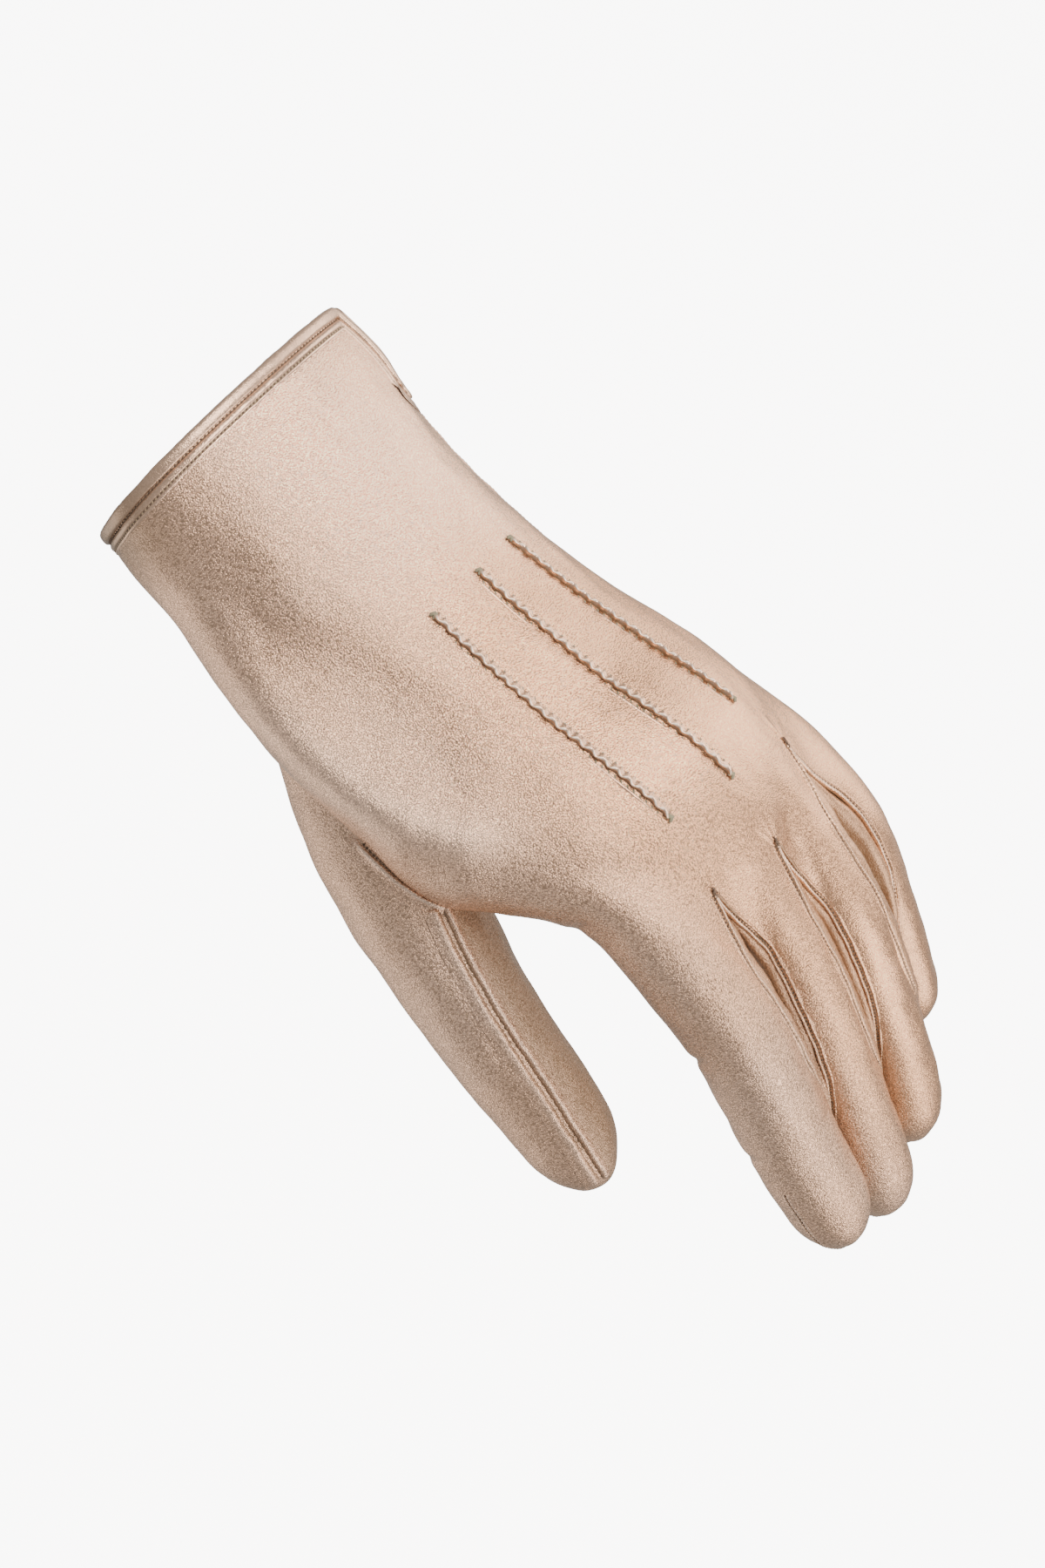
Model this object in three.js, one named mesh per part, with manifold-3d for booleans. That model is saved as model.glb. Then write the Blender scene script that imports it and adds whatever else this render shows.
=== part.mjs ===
// Left-hand dress glove in nappa leather, filled out as it is worn.
// Millimetres. +X runs from the wrist opening to the fingertips, +Y to the
// little-finger side, +Z to the back of the hand. The origin is the centre of
// the wrist opening.
import * as THREE from 'three';
import { mergeVertices } from 'three/addons/utils/BufferGeometryUtils.js';
import Module from 'manifold-3d';

// Leather and clearances
const WALL = 1.2;
const STRIP_WALL = 1.0;
const GAP = 0.35;

// Cuff: bound edge and the open slit at the little-finger side
const BINDING_WIDTH = 3.0;
const BINDING_THICKNESS = 2.4;
const HEM = BINDING_WIDTH + GAP;
const VENT_LENGTH = 26;
const VENT_OPEN_AT_HEM = 1.6;
const VENT_OPEN_AT_NOTCH = 0.5;

// Where neighbouring fingers part, on the back and on the palm
const BACK_CROTCH = { index_middle: 143.5, middle_ring: 143, ring_little: 131 };
const PALM_CROTCH = 152;
const CROTCH_BLEND = 20;
const KNUCKLE_LEAD = 16;

// Fingers
const FINGERTIP_CAP = 13;
const SEAM_JOIN = 21;
const SEAM_TAPER = 28;
const SEAM_LAP = 5;
const KNUCKLE_BEND_SPAN = 26;

// Raised lines on the back
const RIDGE_WIDTH = 1.8;
const RIDGE_HEIGHT = 1.2;

// Mesh density
const STRIP_COLUMNS = 5;
const FINGER_ROWS = 9;
const CAP_ROWS = 4;

const NAPPA = { color: 0xd6bfae, roughness: 0.42, metalness: 0.35 };

const table = (columns, rows) =>
  rows.map((row) => Object.fromEntries(columns.map((name, i) => [name, row[i]])));

// Sections of the hand, wrist to fingers: centre, reach to both sides, height above
// and depth below the centre, and how far each side droops below it
const HAND = table(
  ['x', 'y', 'z', 'thumb_side', 'little_side', 'rise', 'drop', 'thumb_droop', 'little_droop'],
  [
    [0, 0.5, 0, 36, 35.5, 22, 23, 0, 0],
    [12, 0, -0.5, 37.5, 36.5, 22, 23, 0, 0],
    [24, -1, -1, 37, 35.5, 22, 23, 0, 0],
    [42, -3, -2.5, 38, 36, 21.5, 23, 0, 0],
    [62, -3, -2.5, 40, 38.5, 20, 23, 2, 2],
    [82, -0.5, 0, 42, 39.5, 18.5, 23, 4.5, 4.5],
    [96, 2, 2.5, 45, 40, 17, 22, 6, 6],
    [106, 4, 4.5, 45.5, 40, 16.5, 20.5, 5.5, 7],
    [114, 5.5, 6, 42, 38.8, 16, 19, 4, 7.5],
    [122, 6.5, 6.5, 38.8, 37.8, 15.5, 17, 2, 8],
    [136, 8, 4.5, 34.5, 35.8, 14, 12.5, 0, 9],
    [150, 8.5, -1, 32, 34.5, 12, 6.5, 0, 8],
    [167, 8.5, -10, 30, 33, 11, 4, 0, 6],
  ],
);
const HAND_SQUARENESS = 2.35;

// Lines that divide the hand into finger strips, in degrees round the section:
// 0 little-finger side, 90 back, 180 thumb side, 270 palm
const DIVIDERS = table(
  ['x', 'side', 'ring_little', 'middle_ring', 'index_middle', 'fold',
    'palm_index_middle', 'palm_middle_ring', 'palm_ring_little'],
  [
    [0, 26, 50, 72, 94, 180, 236, 268, 300],
    [62, 12, 45, 72, 94, 180, 240, 270, 302],
    [120, -22, 54, 82, 106, 180, 245, 275, 308],
    [167, -34, 52, 86, 114, 180, 245, 275, 308],
  ],
);

// Fingers: knuckle point, length to the tip, bend at each of the three joints
// and where the joints are, turn to the side, roll, half width and half height
// at root and tip, and how far each back seam lies from the finger's top line.
// BEND_TILT is the share of the roll that also tilts the plane a finger bends in.
const FINGERS = table(
  ['name', 'x', 'y', 'z', 'length', 'bend_1', 'bend_2', 'bend_3', 'at_1', 'at_2', 'at_3',
    'turn', 'roll', 'wide_root', 'wide_tip', 'high_root', 'high_tip', 'seam_thumb', 'seam_little'],
  [
    ['index', 124, -17, 10, 107.5, 17, 15, -4, 8, 48, 77, 3.5, -8, 12, 9, 11.5, 8.6, 90, 45],
    ['middle', 126, 10.5, 11, 114, 22, 11, 3, 6, 52, 84, -4.5, 0, 8.4, 8, 9.4, 8.1, 58, 58],
    ['ring', 123, 26.5, 8.5, 111.5, 17, 17, 7, 6, 48, 78, -0.4, -12, 8.5, 7.9, 9.2, 8.1, 58, 54],
    ['little', 114, 40, -1, 101, 11, 23, 7, 6, 43, 68, 10.5, -40, 9.2, 7.6, 8.8, 7.2, 36, 90],
  ],
);
const KNUCKLE_PITCH = 4;
const BEND_TILT = 0.4;
const PALM_SEAM = 52;
const FINGER_SQUARENESS = 2.25;

// Thumb: centre line, half width and half depth
const THUMB = table(
  ['x', 'y', 'z', 'wide', 'deep'],
  [
    [46, -20, -12, 11, 10],
    [63, -24, -14, 15, 12],
    [84, -32, -17.5, 16.2, 14],
    [95, -35.5, -20, 15.4, 14],
    [105, -38.8, -22.5, 14.4, 13.6],
    [126, -42.8, -26.5, 12.6, 12.2],
    [148, -45, -30.5, 11.2, 11],
    [171.5, -47.6, -34.5, 9, 9],
  ],
);
const THUMB_CAP = 13;
const THUMB_UP = [0, -0.5, 0.866];

// Raised lines on the back: where each starts and ends, seen from above, and how far
// it bows to the little-finger side
const RIDGES = table(
  ['name', 'start_x', 'start_y', 'end_x', 'end_y', 'bow'],
  [
    ['point_ridge_1', 61, -6.5, 127, -3.5, -0.9],
    ['point_ridge_2', 61, 8.7, 130, 14.2, -1],
    ['point_ridge_3', 60.5, 21.2, 119.5, 29.5, 0],
  ],
);

const rad = THREE.MathUtils.degToRad;
const mix = THREE.MathUtils.lerp;
const ramp = (from, to, at) => THREE.MathUtils.smoothstep(at, from, to);

// Smooth curve through one column of a table, held level past its ends
function through(rows, column, x, key = 'x') {
  const last = rows.length - 1;
  const at = THREE.MathUtils.clamp(x, rows[0][key], rows[last][key]);
  let i = 0;
  while (i < last - 1 && at > rows[i + 1][key]) i += 1;
  const slope = (k) => {
    const a = rows[Math.max(k - 1, 0)];
    const b = rows[Math.min(k + 1, last)];
    return (b[column] - a[column]) / (b[key] - a[key]);
  };
  const span = rows[i + 1][key] - rows[i][key];
  const t = (at - rows[i][key]) / span;
  const t2 = t * t;
  const t3 = t2 * t;
  return (2 * t3 - 3 * t2 + 1) * rows[i][column] + (t3 - 2 * t2 + t) * span * slope(i)
    + (3 * t2 - 2 * t3) * rows[i + 1][column] + (t3 - t2) * span * slope(i + 1);
}

const power = (value, exponent) => Math.sign(value) * Math.abs(value) ** exponent;

// Point on the hand's skin, pulled in by inset
function handPoint(angle, x, inset = 0) {
  const c = Math.cos(rad(angle));
  const s = Math.sin(rad(angle));
  const exponent = 2 / HAND_SQUARENESS;
  const reach = through(HAND, c < 0 ? 'thumb_side' : 'little_side', x) - inset;
  const height = through(HAND, s < 0 ? 'drop' : 'rise', x) - inset;
  const across = power(c, exponent);
  return new THREE.Vector3(
    x,
    through(HAND, 'y', x) + reach * across,
    through(HAND, 'z', x) + height * power(s, exponent)
      - through(HAND, c < 0 ? 'thumb_droop' : 'little_droop', x) * across * across,
  );
}

// Direction of a finger's centre line, in degrees below level
function fingerPitch(finger, s) {
  const half = KNUCKLE_BEND_SPAN / 2;
  return KNUCKLE_PITCH
    + finger.bend_1 * ramp(finger.at_1 - half, finger.at_1 + half, s)
    + finger.bend_2 * ramp(finger.at_2 - half, finger.at_2 + half, s)
    + finger.bend_3 * ramp(finger.at_3 - half, finger.at_3 + half, s);
}

// Centre, side and back directions of a finger at a distance s from its knuckle
function fingerFrame(finger, s) {
  const turn = rad(finger.turn);
  const tilt = rad(finger.roll * BEND_TILT);
  const roll = rad(finger.roll * (1 - BEND_TILT));
  const level = new THREE.Vector3(Math.cos(turn), Math.sin(turn), 0);
  const hinge = new THREE.Vector3(-Math.sin(turn), Math.cos(turn), 0).multiplyScalar(Math.cos(tilt));
  hinge.z = Math.sin(tilt);
  const top = new THREE.Vector3().crossVectors(level, hinge);
  const turned = (a, b, angle) => (
    a.clone().multiplyScalar(Math.cos(angle)).addScaledVector(b, Math.sin(angle))
  );
  const along = (at) => turned(level, top, -rad(fingerPitch(finger, at)));
  const steps = Math.max(2, Math.ceil(Math.abs(s) / 3));
  const centre = new THREE.Vector3(finger.x, finger.y, finger.z);
  for (let i = 0; i < steps; i += 1) centre.addScaledVector(along((i + 0.5) * s / steps), s / steps);
  const back = turned(top, level, rad(fingerPitch(finger, s)));
  return { centre, side: turned(hinge, back, roll), back: turned(back, hinge, -roll) };
}

// Point on a finger's skin
function fingerPoint(finger, angle, s) {
  const { centre, side, back } = fingerFrame(finger, s);
  const part = THREE.MathUtils.clamp(s / finger.length, 0, 1);
  const past = THREE.MathUtils.clamp((s - finger.length + FINGERTIP_CAP) / FINGERTIP_CAP, 0, 1);
  const round = Math.sqrt(1 - past * past);
  const exponent = 2 / FINGER_SQUARENESS;
  const across = mix(finger.wide_root, finger.wide_tip, part) * power(Math.cos(rad(angle)), exponent);
  const up = mix(finger.high_root, finger.high_tip, part) * power(Math.sin(rad(angle)), exponent);
  return centre.addScaledVector(side, across * round).addScaledVector(back, up * round);
}

// Distances from the knuckle of the rows past the palm's crotches, closer over the tip
function fingerRows(finger) {
  const first = PALM_CROTCH - finger.x;
  const cap = finger.length - FINGERTIP_CAP;
  const rows = [];
  for (let i = 1; i <= FINGER_ROWS; i += 1) {
    rows.push(mix(first, finger.length - SEAM_JOIN, i / FINGER_ROWS));
  }
  rows.push(cap - 0.4 * (SEAM_JOIN - FINGERTIP_CAP));
  for (let i = 0; i <= CAP_ROWS; i += 1) {
    rows.push(cap + FINGERTIP_CAP * Math.sin((Math.PI / 2) * (i / CAP_ROWS)));
  }
  return rows;
}

// Rows that every strip shares, hem to palm crotch
function handRows() {
  const rows = [];
  for (let i = 0; i <= 4; i += 1) rows.push(mix(HEM, VENT_LENGTH, i / 4));
  for (let i = 0; i < 13; i += 1) rows.push(mix(VENT_LENGTH + 1.6, BACK_CROTCH.ring_little, i / 13));
  rows.push(BACK_CROTCH.ring_little, mix(BACK_CROTCH.ring_little, BACK_CROTCH.index_middle, 0.5));
  rows.push(BACK_CROTCH.index_middle, PALM_CROTCH);
  return rows;
}

// How far a seam has closed onto the finger's side line, 0 at the root and 1 near the tip
function seamClosing(finger, s) {
  return ramp(finger.length - SEAM_JOIN - SEAM_TAPER, finger.length - SEAM_JOIN, s);
}

// The strips of leather round the hand. Each knows its dividers on the hand, the
// finger it becomes, and where it parts from its neighbours.
function stripEdges() {
  const [index, middle, ring, little] = FINGERS;
  const back = (finger, from, to, partFrom, partTo) => ({
    finger, under: false, from, to, partFrom, partTo,
    angleFrom: (s) => mix(90 + finger.seam_thumb, 180, seamClosing(finger, s)),
    angleTo: (s) => mix(90 - finger.seam_little, 0, seamClosing(finger, s)),
  });
  const palm = (finger, from, to, partFrom, partTo) => ({
    finger, under: true, from, to, partFrom, partTo,
    angleFrom: (s) => (finger === little ? 360 : mix(270 + PALM_SEAM, 360, seamClosing(finger, s))),
    angleTo: (s) => (finger === index ? 180 : mix(270 - PALM_SEAM, 180, seamClosing(finger, s))),
  });
  const { index_middle: im, middle_ring: mr, ring_little: rl } = BACK_CROTCH;
  const free = BACK_CROTCH.ring_little - 14;
  return [
    back(index, 'fold', 'index_middle', free, im),
    back(middle, 'index_middle', 'middle_ring', im, mr),
    back(ring, 'middle_ring', 'ring_little', mr, rl),
    back(little, 'ring_little', 'side', rl, free),
    palm(little, 'side_under', 'palm_ring_little', free, PALM_CROTCH),
    palm(ring, 'palm_ring_little', 'palm_middle_ring', PALM_CROTCH, PALM_CROTCH),
    palm(middle, 'palm_middle_ring', 'palm_index_middle', PALM_CROTCH, PALM_CROTCH),
    palm(index, 'palm_index_middle', 'fold', PALM_CROTCH, free),
  ];
}

// Degrees round the hand that cover a width along the leather
function degreesFor(width, angle, x) {
  return 2 * width / handPoint(angle + 1, x).distanceTo(handPoint(angle - 1, x));
}

// Half width of the slit's clear opening
function ventOpening(x) {
  return mix(VENT_OPEN_AT_HEM, VENT_OPEN_AT_NOTCH, x / VENT_LENGTH);
}

// Angle of a divider on the hand; the side seam stands open along the vent
function dividerAngle(name, x) {
  const under = name === 'side_under';
  const angle = through(DIVIDERS, under ? 'side' : name, x);
  if (name !== 'side' && !under) return angle;
  const setback = x > VENT_LENGTH ? 0 : degreesFor(HEM + ventOpening(x), angle, x);
  return under ? angle + 360 - setback : angle + setback;
}

// Point of the wrap at a place across a strip (0 to 1) and a distance along the hand
function wrapPoint(strip, across, x) {
  const s = x - strip.finger.x;
  const part = mix(strip.partFrom, strip.partTo, across) - KNUCKLE_LEAD * Math.sin(Math.PI * across);
  const blend = ramp(part, part + CROTCH_BLEND + 0.5 * KNUCKLE_LEAD * Math.sin(Math.PI * across), x);
  const onHand = mix(dividerAngle(strip.from, x), dividerAngle(strip.to, x), across);
  const onFinger = mix(strip.angleFrom(s), strip.angleTo(s), across);
  if (blend === 0) return handPoint(onHand, x);
  return handPoint(onHand, x).lerp(fingerPoint(strip.finger, onFinger, s), blend);
}

// Triangles of a grid of points, split along the shorter diagonal; faces look to the
// side of row step times column step
function gridFaces(rows) {
  const faces = [];
  for (let i = 0; i + 1 < rows.length; i += 1) {
    for (let j = 0; j + 1 < rows[i].length; j += 1) {
      const [a, b, c, d] = [rows[i][j], rows[i][j + 1], rows[i + 1][j + 1], rows[i + 1][j]];
      if (a.distanceTo(c) < b.distanceTo(d)) faces.push([a, d, c], [a, c, b]);
      else faces.push([a, d, b], [d, c, b]);
    }
  }
  return faces;
}

// Triangles that close a ring of points onto its middle
function fan(ring, ahead) {
  const middle = new THREE.Vector3();
  ring.forEach((p) => middle.addScaledVector(p, 1 / ring.length));
  return ring.map((p, i) => {
    const next = ring[(i + 1) % ring.length];
    return ahead ? [middle, next, p] : [middle, p, next];
  });
}

function toBuffer(positions, indices) {
  const geometry = new THREE.BufferGeometry();
  geometry.setAttribute('position', new THREE.Float32BufferAttribute(positions, 3));
  geometry.setIndex(indices);
  return geometry;
}

// Closed solid from rings of points along a path, its first ring closed by a fan
function ringSolid(rings, raise = 0) {
  const closed = rings.map((ring) => [...ring, ring[0]]);
  const faces = [...gridFaces(closed), ...fan(rings[0], false), ...fan(rings[rings.length - 1], true)];
  const skin = surface(faces);
  const normals = normalsOf(skin);
  const positions = skin.points.flatMap((p, i) => p.clone().addScaledVector(normals[i], raise).toArray());
  return toBuffer(positions, skin.triangles.flat());
}

// Joined, indexed surface from triangles of points; collapsed triangles are dropped
function surface(faces) {
  const keys = new Map();
  const points = [];
  const triangles = [];
  const at = (p) => {
    const key = `${Math.round(p.x * 500)},${Math.round(p.y * 500)},${Math.round(p.z * 500)}`;
    if (!keys.has(key)) {
      keys.set(key, points.length);
      points.push(p);
    }
    return keys.get(key);
  };
  for (const face of faces) {
    const [a, b, c] = face.map(at);
    if (a !== b && b !== c && c !== a) triangles.push([a, b, c]);
  }
  return { points, triangles };
}

// Outward direction at each point of a surface
function normalsOf({ points, triangles }) {
  const normals = points.map(() => new THREE.Vector3());
  const face = new THREE.Triangle();
  const n = new THREE.Vector3();
  for (const [a, b, c] of triangles) {
    face.set(points[a], points[b], points[c]);
    face.getNormal(n).multiplyScalar(Math.sqrt(face.getArea()));
    normals[a].add(n);
    normals[b].add(n);
    normals[c].add(n);
  }
  return normals.map((v) => v.normalize());
}

// Closed wall of leather under a skin
function wall(skin, thickness) {
  const normals = normalsOf(skin);
  const count = skin.points.length;
  const under = skin.points.map((p, i) => p.clone().addScaledVector(normals[i], -thickness));
  const positions = [...skin.points, ...under].flatMap((p) => p.toArray());
  const indices = [];
  const edges = new Set();
  for (const [a, b, c] of skin.triangles) {
    indices.push(a, b, c, a + count, c + count, b + count);
    edges.add(`${a},${b}`).add(`${b},${c}`).add(`${c},${a}`);
  }
  for (const edge of edges) {
    const [a, b] = edge.split(',').map(Number);
    if (!edges.has(`${b},${a}`)) indices.push(b, a, a + count, b, a + count, b + count);
  }
  return toBuffer(positions, indices);
}

const wasm = await Module();
wasm.setup();
const { Manifold, Mesh } = wasm;

function toManifold(geometry) {
  const clean = mergeVertices(geometry, 1e-4);
  return new Manifold(new Mesh({
    numProp: 3,
    vertProperties: new Float32Array(clean.attributes.position.array),
    triVerts: new Uint32Array(clean.index.array),
  }));
}

function toGeometry(manifold) {
  const mesh = manifold.getMesh();
  const positions = [];
  for (let i = 0; i < mesh.numVert; i += 1) {
    for (let k = 0; k < 3; k += 1) positions.push(mesh.vertProperties[i * mesh.numProp + k]);
  }
  return toBuffer(positions, Array.from(mesh.triVerts));
}

// The largest body of a cut solid
function mainBody(manifold) {
  return manifold.decompose().reduce((best, body) => (body.volume() > best.volume() ? body : best));
}

// The wrap: back and palm of the hand with both faces of all four fingers
function wrapSkin(strips) {
  const shared = handRows();
  const faces = strips.flatMap((strip) => {
    const stations = [...shared, ...fingerRows(strip.finger).map((s) => s + strip.finger.x)];
    return gridFaces(stations.map((x) => (
      Array.from({ length: STRIP_COLUMNS + 1 }, (_, j) => wrapPoint(strip, j / STRIP_COLUMNS, x))
    )));
  });
  return surface(faces);
}

// Outward direction of the wrap at one of a strip's edges
function edgeNormal(strip, edge, x) {
  const along = wrapPoint(strip, edge, x + 0.5).sub(wrapPoint(strip, edge, x - 0.5));
  const across = wrapPoint(strip, mix(0.08, 1, edge), x).sub(wrapPoint(strip, mix(0, 0.92, edge), x));
  return along.cross(across).normalize();
}

// One side of the strip between two fingers, from under the back of the finger to
// under its palm side, swelling out to the finger's own side between them
function sideRow(side, part, columns) {
  const { finger, back, palm, backEdge, palmEdge, crotch } = side;
  const end = finger.x + finger.length - SEAM_JOIN - 3;
  const backX = mix(crotch + STRIP_WALL, end, part);
  const palmX = mix(PALM_CROTCH + STRIP_WALL, end, part);
  const lap = SEAM_LAP * (backEdge ? 1 : -1);
  const backAngle = (backEdge ? back.angleTo : back.angleFrom)(backX - finger.x);
  const palmAngle = (palmEdge ? palm.angleTo : palm.angleFrom)(palmX - finger.x) - (backEdge ? 360 : 0);
  const backSeam = wrapPoint(back, backEdge, backX);
  const palmSeam = wrapPoint(palm, palmEdge, palmX);
  const narrow = 1 - ramp(3, 9, backSeam.distanceTo(palmSeam));
  const depth = WALL + GAP + 0.4 + STRIP_WALL * (1 - ramp(0, 0.3, part));
  const backDown = edgeNormal(back, backEdge, backX).multiplyScalar(-depth);
  const palmDown = edgeNormal(palm, palmEdge, palmX).multiplyScalar(-depth);
  const backShift = backSeam.sub(fingerPoint(finger, backAngle, backX - finger.x));
  const palmShift = palmSeam.sub(fingerPoint(finger, palmAngle, palmX - finger.x));
  return Array.from({ length: columns + 1 }, (_, j) => {
    const t = j / columns;
    const s = mix(backX, palmX, t) - finger.x;
    return fingerPoint(finger, mix(backAngle + lap, palmAngle - lap, t), s)
      .addScaledVector(backShift, (1 - t) ** 2).addScaledVector(palmShift, t * t)
      .addScaledVector(backDown, Math.max(1 - ramp(0, 0.4, t), narrow * (1 - t)))
      .addScaledVector(palmDown, Math.max(ramp(0.6, 1, t), narrow * t));
  });
}

// The strip between two fingers: out along one side, round the crotch, out along the next
function stripBetween(strips, first, second, crotch) {
  const find = (name, palm) => strips.find((s) => s.finger.name === name && s.under === palm);
  const near = {
    finger: find(first, false).finger, back: find(first, false), palm: find(first, true),
    backEdge: 1, palmEdge: 0, crotch: BACK_CROTCH[crotch],
  };
  const far = {
    finger: find(second, false).finger, back: find(second, false), palm: find(second, true),
    backEdge: 0, palmEdge: 1, crotch: BACK_CROTCH[crotch],
  };
  const steps = FINGER_ROWS + 2;
  const farRoot = sideRow(far, 0, STRIP_COLUMNS);
  const web = sideRow(near, 0, STRIP_COLUMNS).map((p, j) => p.lerp(farRoot[j], 0.5));
  const rowsOf = (side) => Array.from({ length: steps }, (_, i) => {
    const part = ((i + 1) / steps) ** 1.3;
    return sideRow(side, part, STRIP_COLUMNS).map((p, j) => web[j].clone().lerp(p, ramp(0, 0.12, part)));
  });
  return surface(gridFaces([...rowsOf(far).reverse(), web, ...rowsOf(near)]));
}

// Ring of points round the thumb at a distance along it
function thumbRing(x, columns) {
  const at = (k) => new THREE.Vector3(k, through(THUMB, 'y', k), through(THUMB, 'z', k));
  const ahead = at(Math.min(x + 1, THUMB[THUMB.length - 1].x)).sub(at(x - 1)).normalize();
  const up = new THREE.Vector3(...THUMB_UP);
  up.addScaledVector(ahead, -up.dot(ahead)).normalize();
  const side = new THREE.Vector3().crossVectors(up, ahead);
  const end = THUMB[THUMB.length - 1].x;
  const past = THREE.MathUtils.clamp((x - end + THUMB_CAP) / THUMB_CAP, 0, 1);
  const round = Math.sqrt(1 - past * past);
  return Array.from({ length: columns }, (_, j) => {
    const angle = -2 * Math.PI * j / columns;
    return at(x)
      .addScaledVector(side, through(THUMB, 'wide', x) * Math.cos(angle) * round)
      .addScaledVector(up, through(THUMB, 'deep', x) * Math.sin(angle) * round);
  });
}

function thumbRings(columns) {
  const start = THUMB[0].x;
  const cap = THUMB[THUMB.length - 1].x - THUMB_CAP;
  const rows = Array.from({ length: 17 }, (_, i) => mix(start, cap, i / 16));
  for (let i = 1; i <= CAP_ROWS; i += 1) {
    rows.push(cap + THUMB_CAP * Math.sin((Math.PI / 2) * (i / CAP_ROWS)));
  }
  return rows.map((x) => thumbRing(x, columns));
}

// Inside of the hand, where the wrap's inner face lies
function handCore(columns) {
  const rings = [];
  for (let x = 30; x <= 142; x += 8) {
    rings.push(Array.from({ length: columns }, (_, j) => handPoint(-360 * j / columns, x, WALL)));
  }
  return ringSolid(rings);
}

// Path of the bound edge: round the hem, up one side of the vent and down the other
function bindingPath() {
  const half = BINDING_WIDTH / 2;
  const across = (x, gap) => degreesFor(half + gap, through(DIVIDERS, 'side', x), x);
  const side = (x) => through(DIVIDERS, 'side', x);
  const hemX = half;
  const notchX = VENT_LENGTH - GAP - half;
  const path = [];
  const start = side(hemX) + across(hemX, ventOpening(hemX));
  const end = side(hemX) + 360 - across(hemX, ventOpening(hemX));
  for (let i = 0; i <= 40; i += 1) path.push([mix(start, end, i / 40), hemX]);
  for (let i = 1; i <= 5; i += 1) {
    const x = mix(hemX, notchX, i / 5);
    path.push([side(x) + 360 - across(x, ventOpening(x)), x]);
  }
  for (let i = 5; i >= 1; i -= 1) {
    const x = mix(hemX, notchX, i / 5);
    path.push([side(x) + 360 + across(x, ventOpening(x)), x]);
  }
  return path;
}

// Outward direction of the hand's skin
function handNormal(angle, x) {
  const along = handPoint(angle, x + 1).sub(handPoint(angle, x - 1));
  const round = handPoint(angle - 1, x).sub(handPoint(angle + 1, x));
  return along.cross(round).normalize();
}

// Angle at which the back of the hand lies above a point of the plan
function angleAbove(x, y) {
  let [low, high] = [1, 179];
  for (let i = 0; i < 24; i += 1) {
    const middle = (low + high) / 2;
    if (handPoint(middle, x).y > y) low = middle;
    else high = middle;
  }
  return low;
}

// Rings of an oval section swept along points with a chosen upward direction
function sweptRings(points, ups, width, height, sides, closed) {
  const count = points.length;
  return points.map((p, i) => {
    const before = points[closed ? (i + count - 1) % count : Math.max(i - 1, 0)];
    const after = points[closed ? (i + 1) % count : Math.min(i + 1, count - 1)];
    const ahead = after.clone().sub(before).normalize();
    const side = new THREE.Vector3().crossVectors(ahead, ups[i]).normalize();
    return Array.from({ length: sides }, (_, j) => {
      const angle = (2 * Math.PI * (j + 0.5)) / sides;
      return p.clone()
        .addScaledVector(side, (width / 2) * power(Math.cos(angle), 0.8))
        .addScaledVector(ups[i], (height / 2) * power(Math.sin(angle), 0.8));
    });
  });
}

function bindingSolid() {
  const path = bindingPath();
  const sunk = -WALL / 2;
  const ups = path.map(([angle, x]) => handNormal(angle, x));
  const points = path.map(([angle, x], i) => handPoint(angle, x).addScaledVector(ups[i], sunk));
  const rings = sweptRings(points, ups, BINDING_WIDTH, BINDING_THICKNESS, 8, true);
  const skin = surface(gridFaces([...rings, rings[0]].map((ring) => [...ring, ring[0]])));
  return toBuffer(skin.points.flatMap((p) => p.toArray()), skin.triangles.flat());
}

// One raised line, lying on the back of the hand between its two ends
function ridgeSolid(ridge) {
  const steps = 22;
  const points = [];
  const ups = [];
  for (let i = 0; i <= steps; i += 1) {
    const part = i / steps;
    const x = mix(ridge.start_x, ridge.end_x, part);
    const bow = ridge.bow * Math.sin(Math.PI * part);
    const angle = angleAbove(x, mix(ridge.start_y, ridge.end_y, part) + bow);
    const up = handNormal(angle, x);
    ups.push(up);
    points.push(handPoint(angle, x).addScaledVector(up, GAP + RIDGE_HEIGHT / 2));
  }
  return ringSolid(sweptRings(points, ups, RIDGE_WIDTH, RIDGE_HEIGHT, 6, false));
}

const glove = new THREE.Group();
glove.name = 'leather_glove';

function add(name, geometry) {
  geometry.computeVertexNormals();
  const mesh = new THREE.Mesh(geometry, new THREE.MeshStandardMaterial(NAPPA));
  mesh.name = name;
  glove.add(mesh);
}

const strips = stripEdges();
const skin = wrapSkin(strips);
const thumbPlug = toManifold(ringSolid(thumbRings(16), GAP));
add('trank', toGeometry(mainBody(toManifold(wall(skin, WALL)).subtract(thumbPlug))));

for (const [first, second] of [['index', 'middle'], ['middle', 'ring'], ['ring', 'little']]) {
  const crotch = `${first}_${second}`;
  add(`fourchette_${crotch}`, wall(stripBetween(strips, first, second, crotch), STRIP_WALL));
}

const thumbRows = thumbRings(16).map((ring) => [...ring, ring[0]]);
const thumbWall = toManifold(wall(surface(gridFaces(thumbRows)), WALL));
add('thumb', toGeometry(mainBody(thumbWall.subtract(toManifold(handCore(32))))));

add('cuff_binding', bindingSolid());
RIDGES.forEach((ridge) => add(ridge.name, ridgeSolid(ridge)));

export default glove;
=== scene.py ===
"""Left-hand dress glove in metallic nappa leather, dressed over its solid frame.

Sizes are in millimetres until a mesh is made, which is in metres. +X runs from the
wrist opening to the fingertips, +Y to the little-finger side, +Z to the back of the
hand, and the origin is the centre of the wrist opening.
"""

import logging
import math
from collections.abc import Callable
from dataclasses import dataclass, field
from enum import Enum

import bpy
import numpy as np
from mathutils import Matrix, Vector


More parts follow.
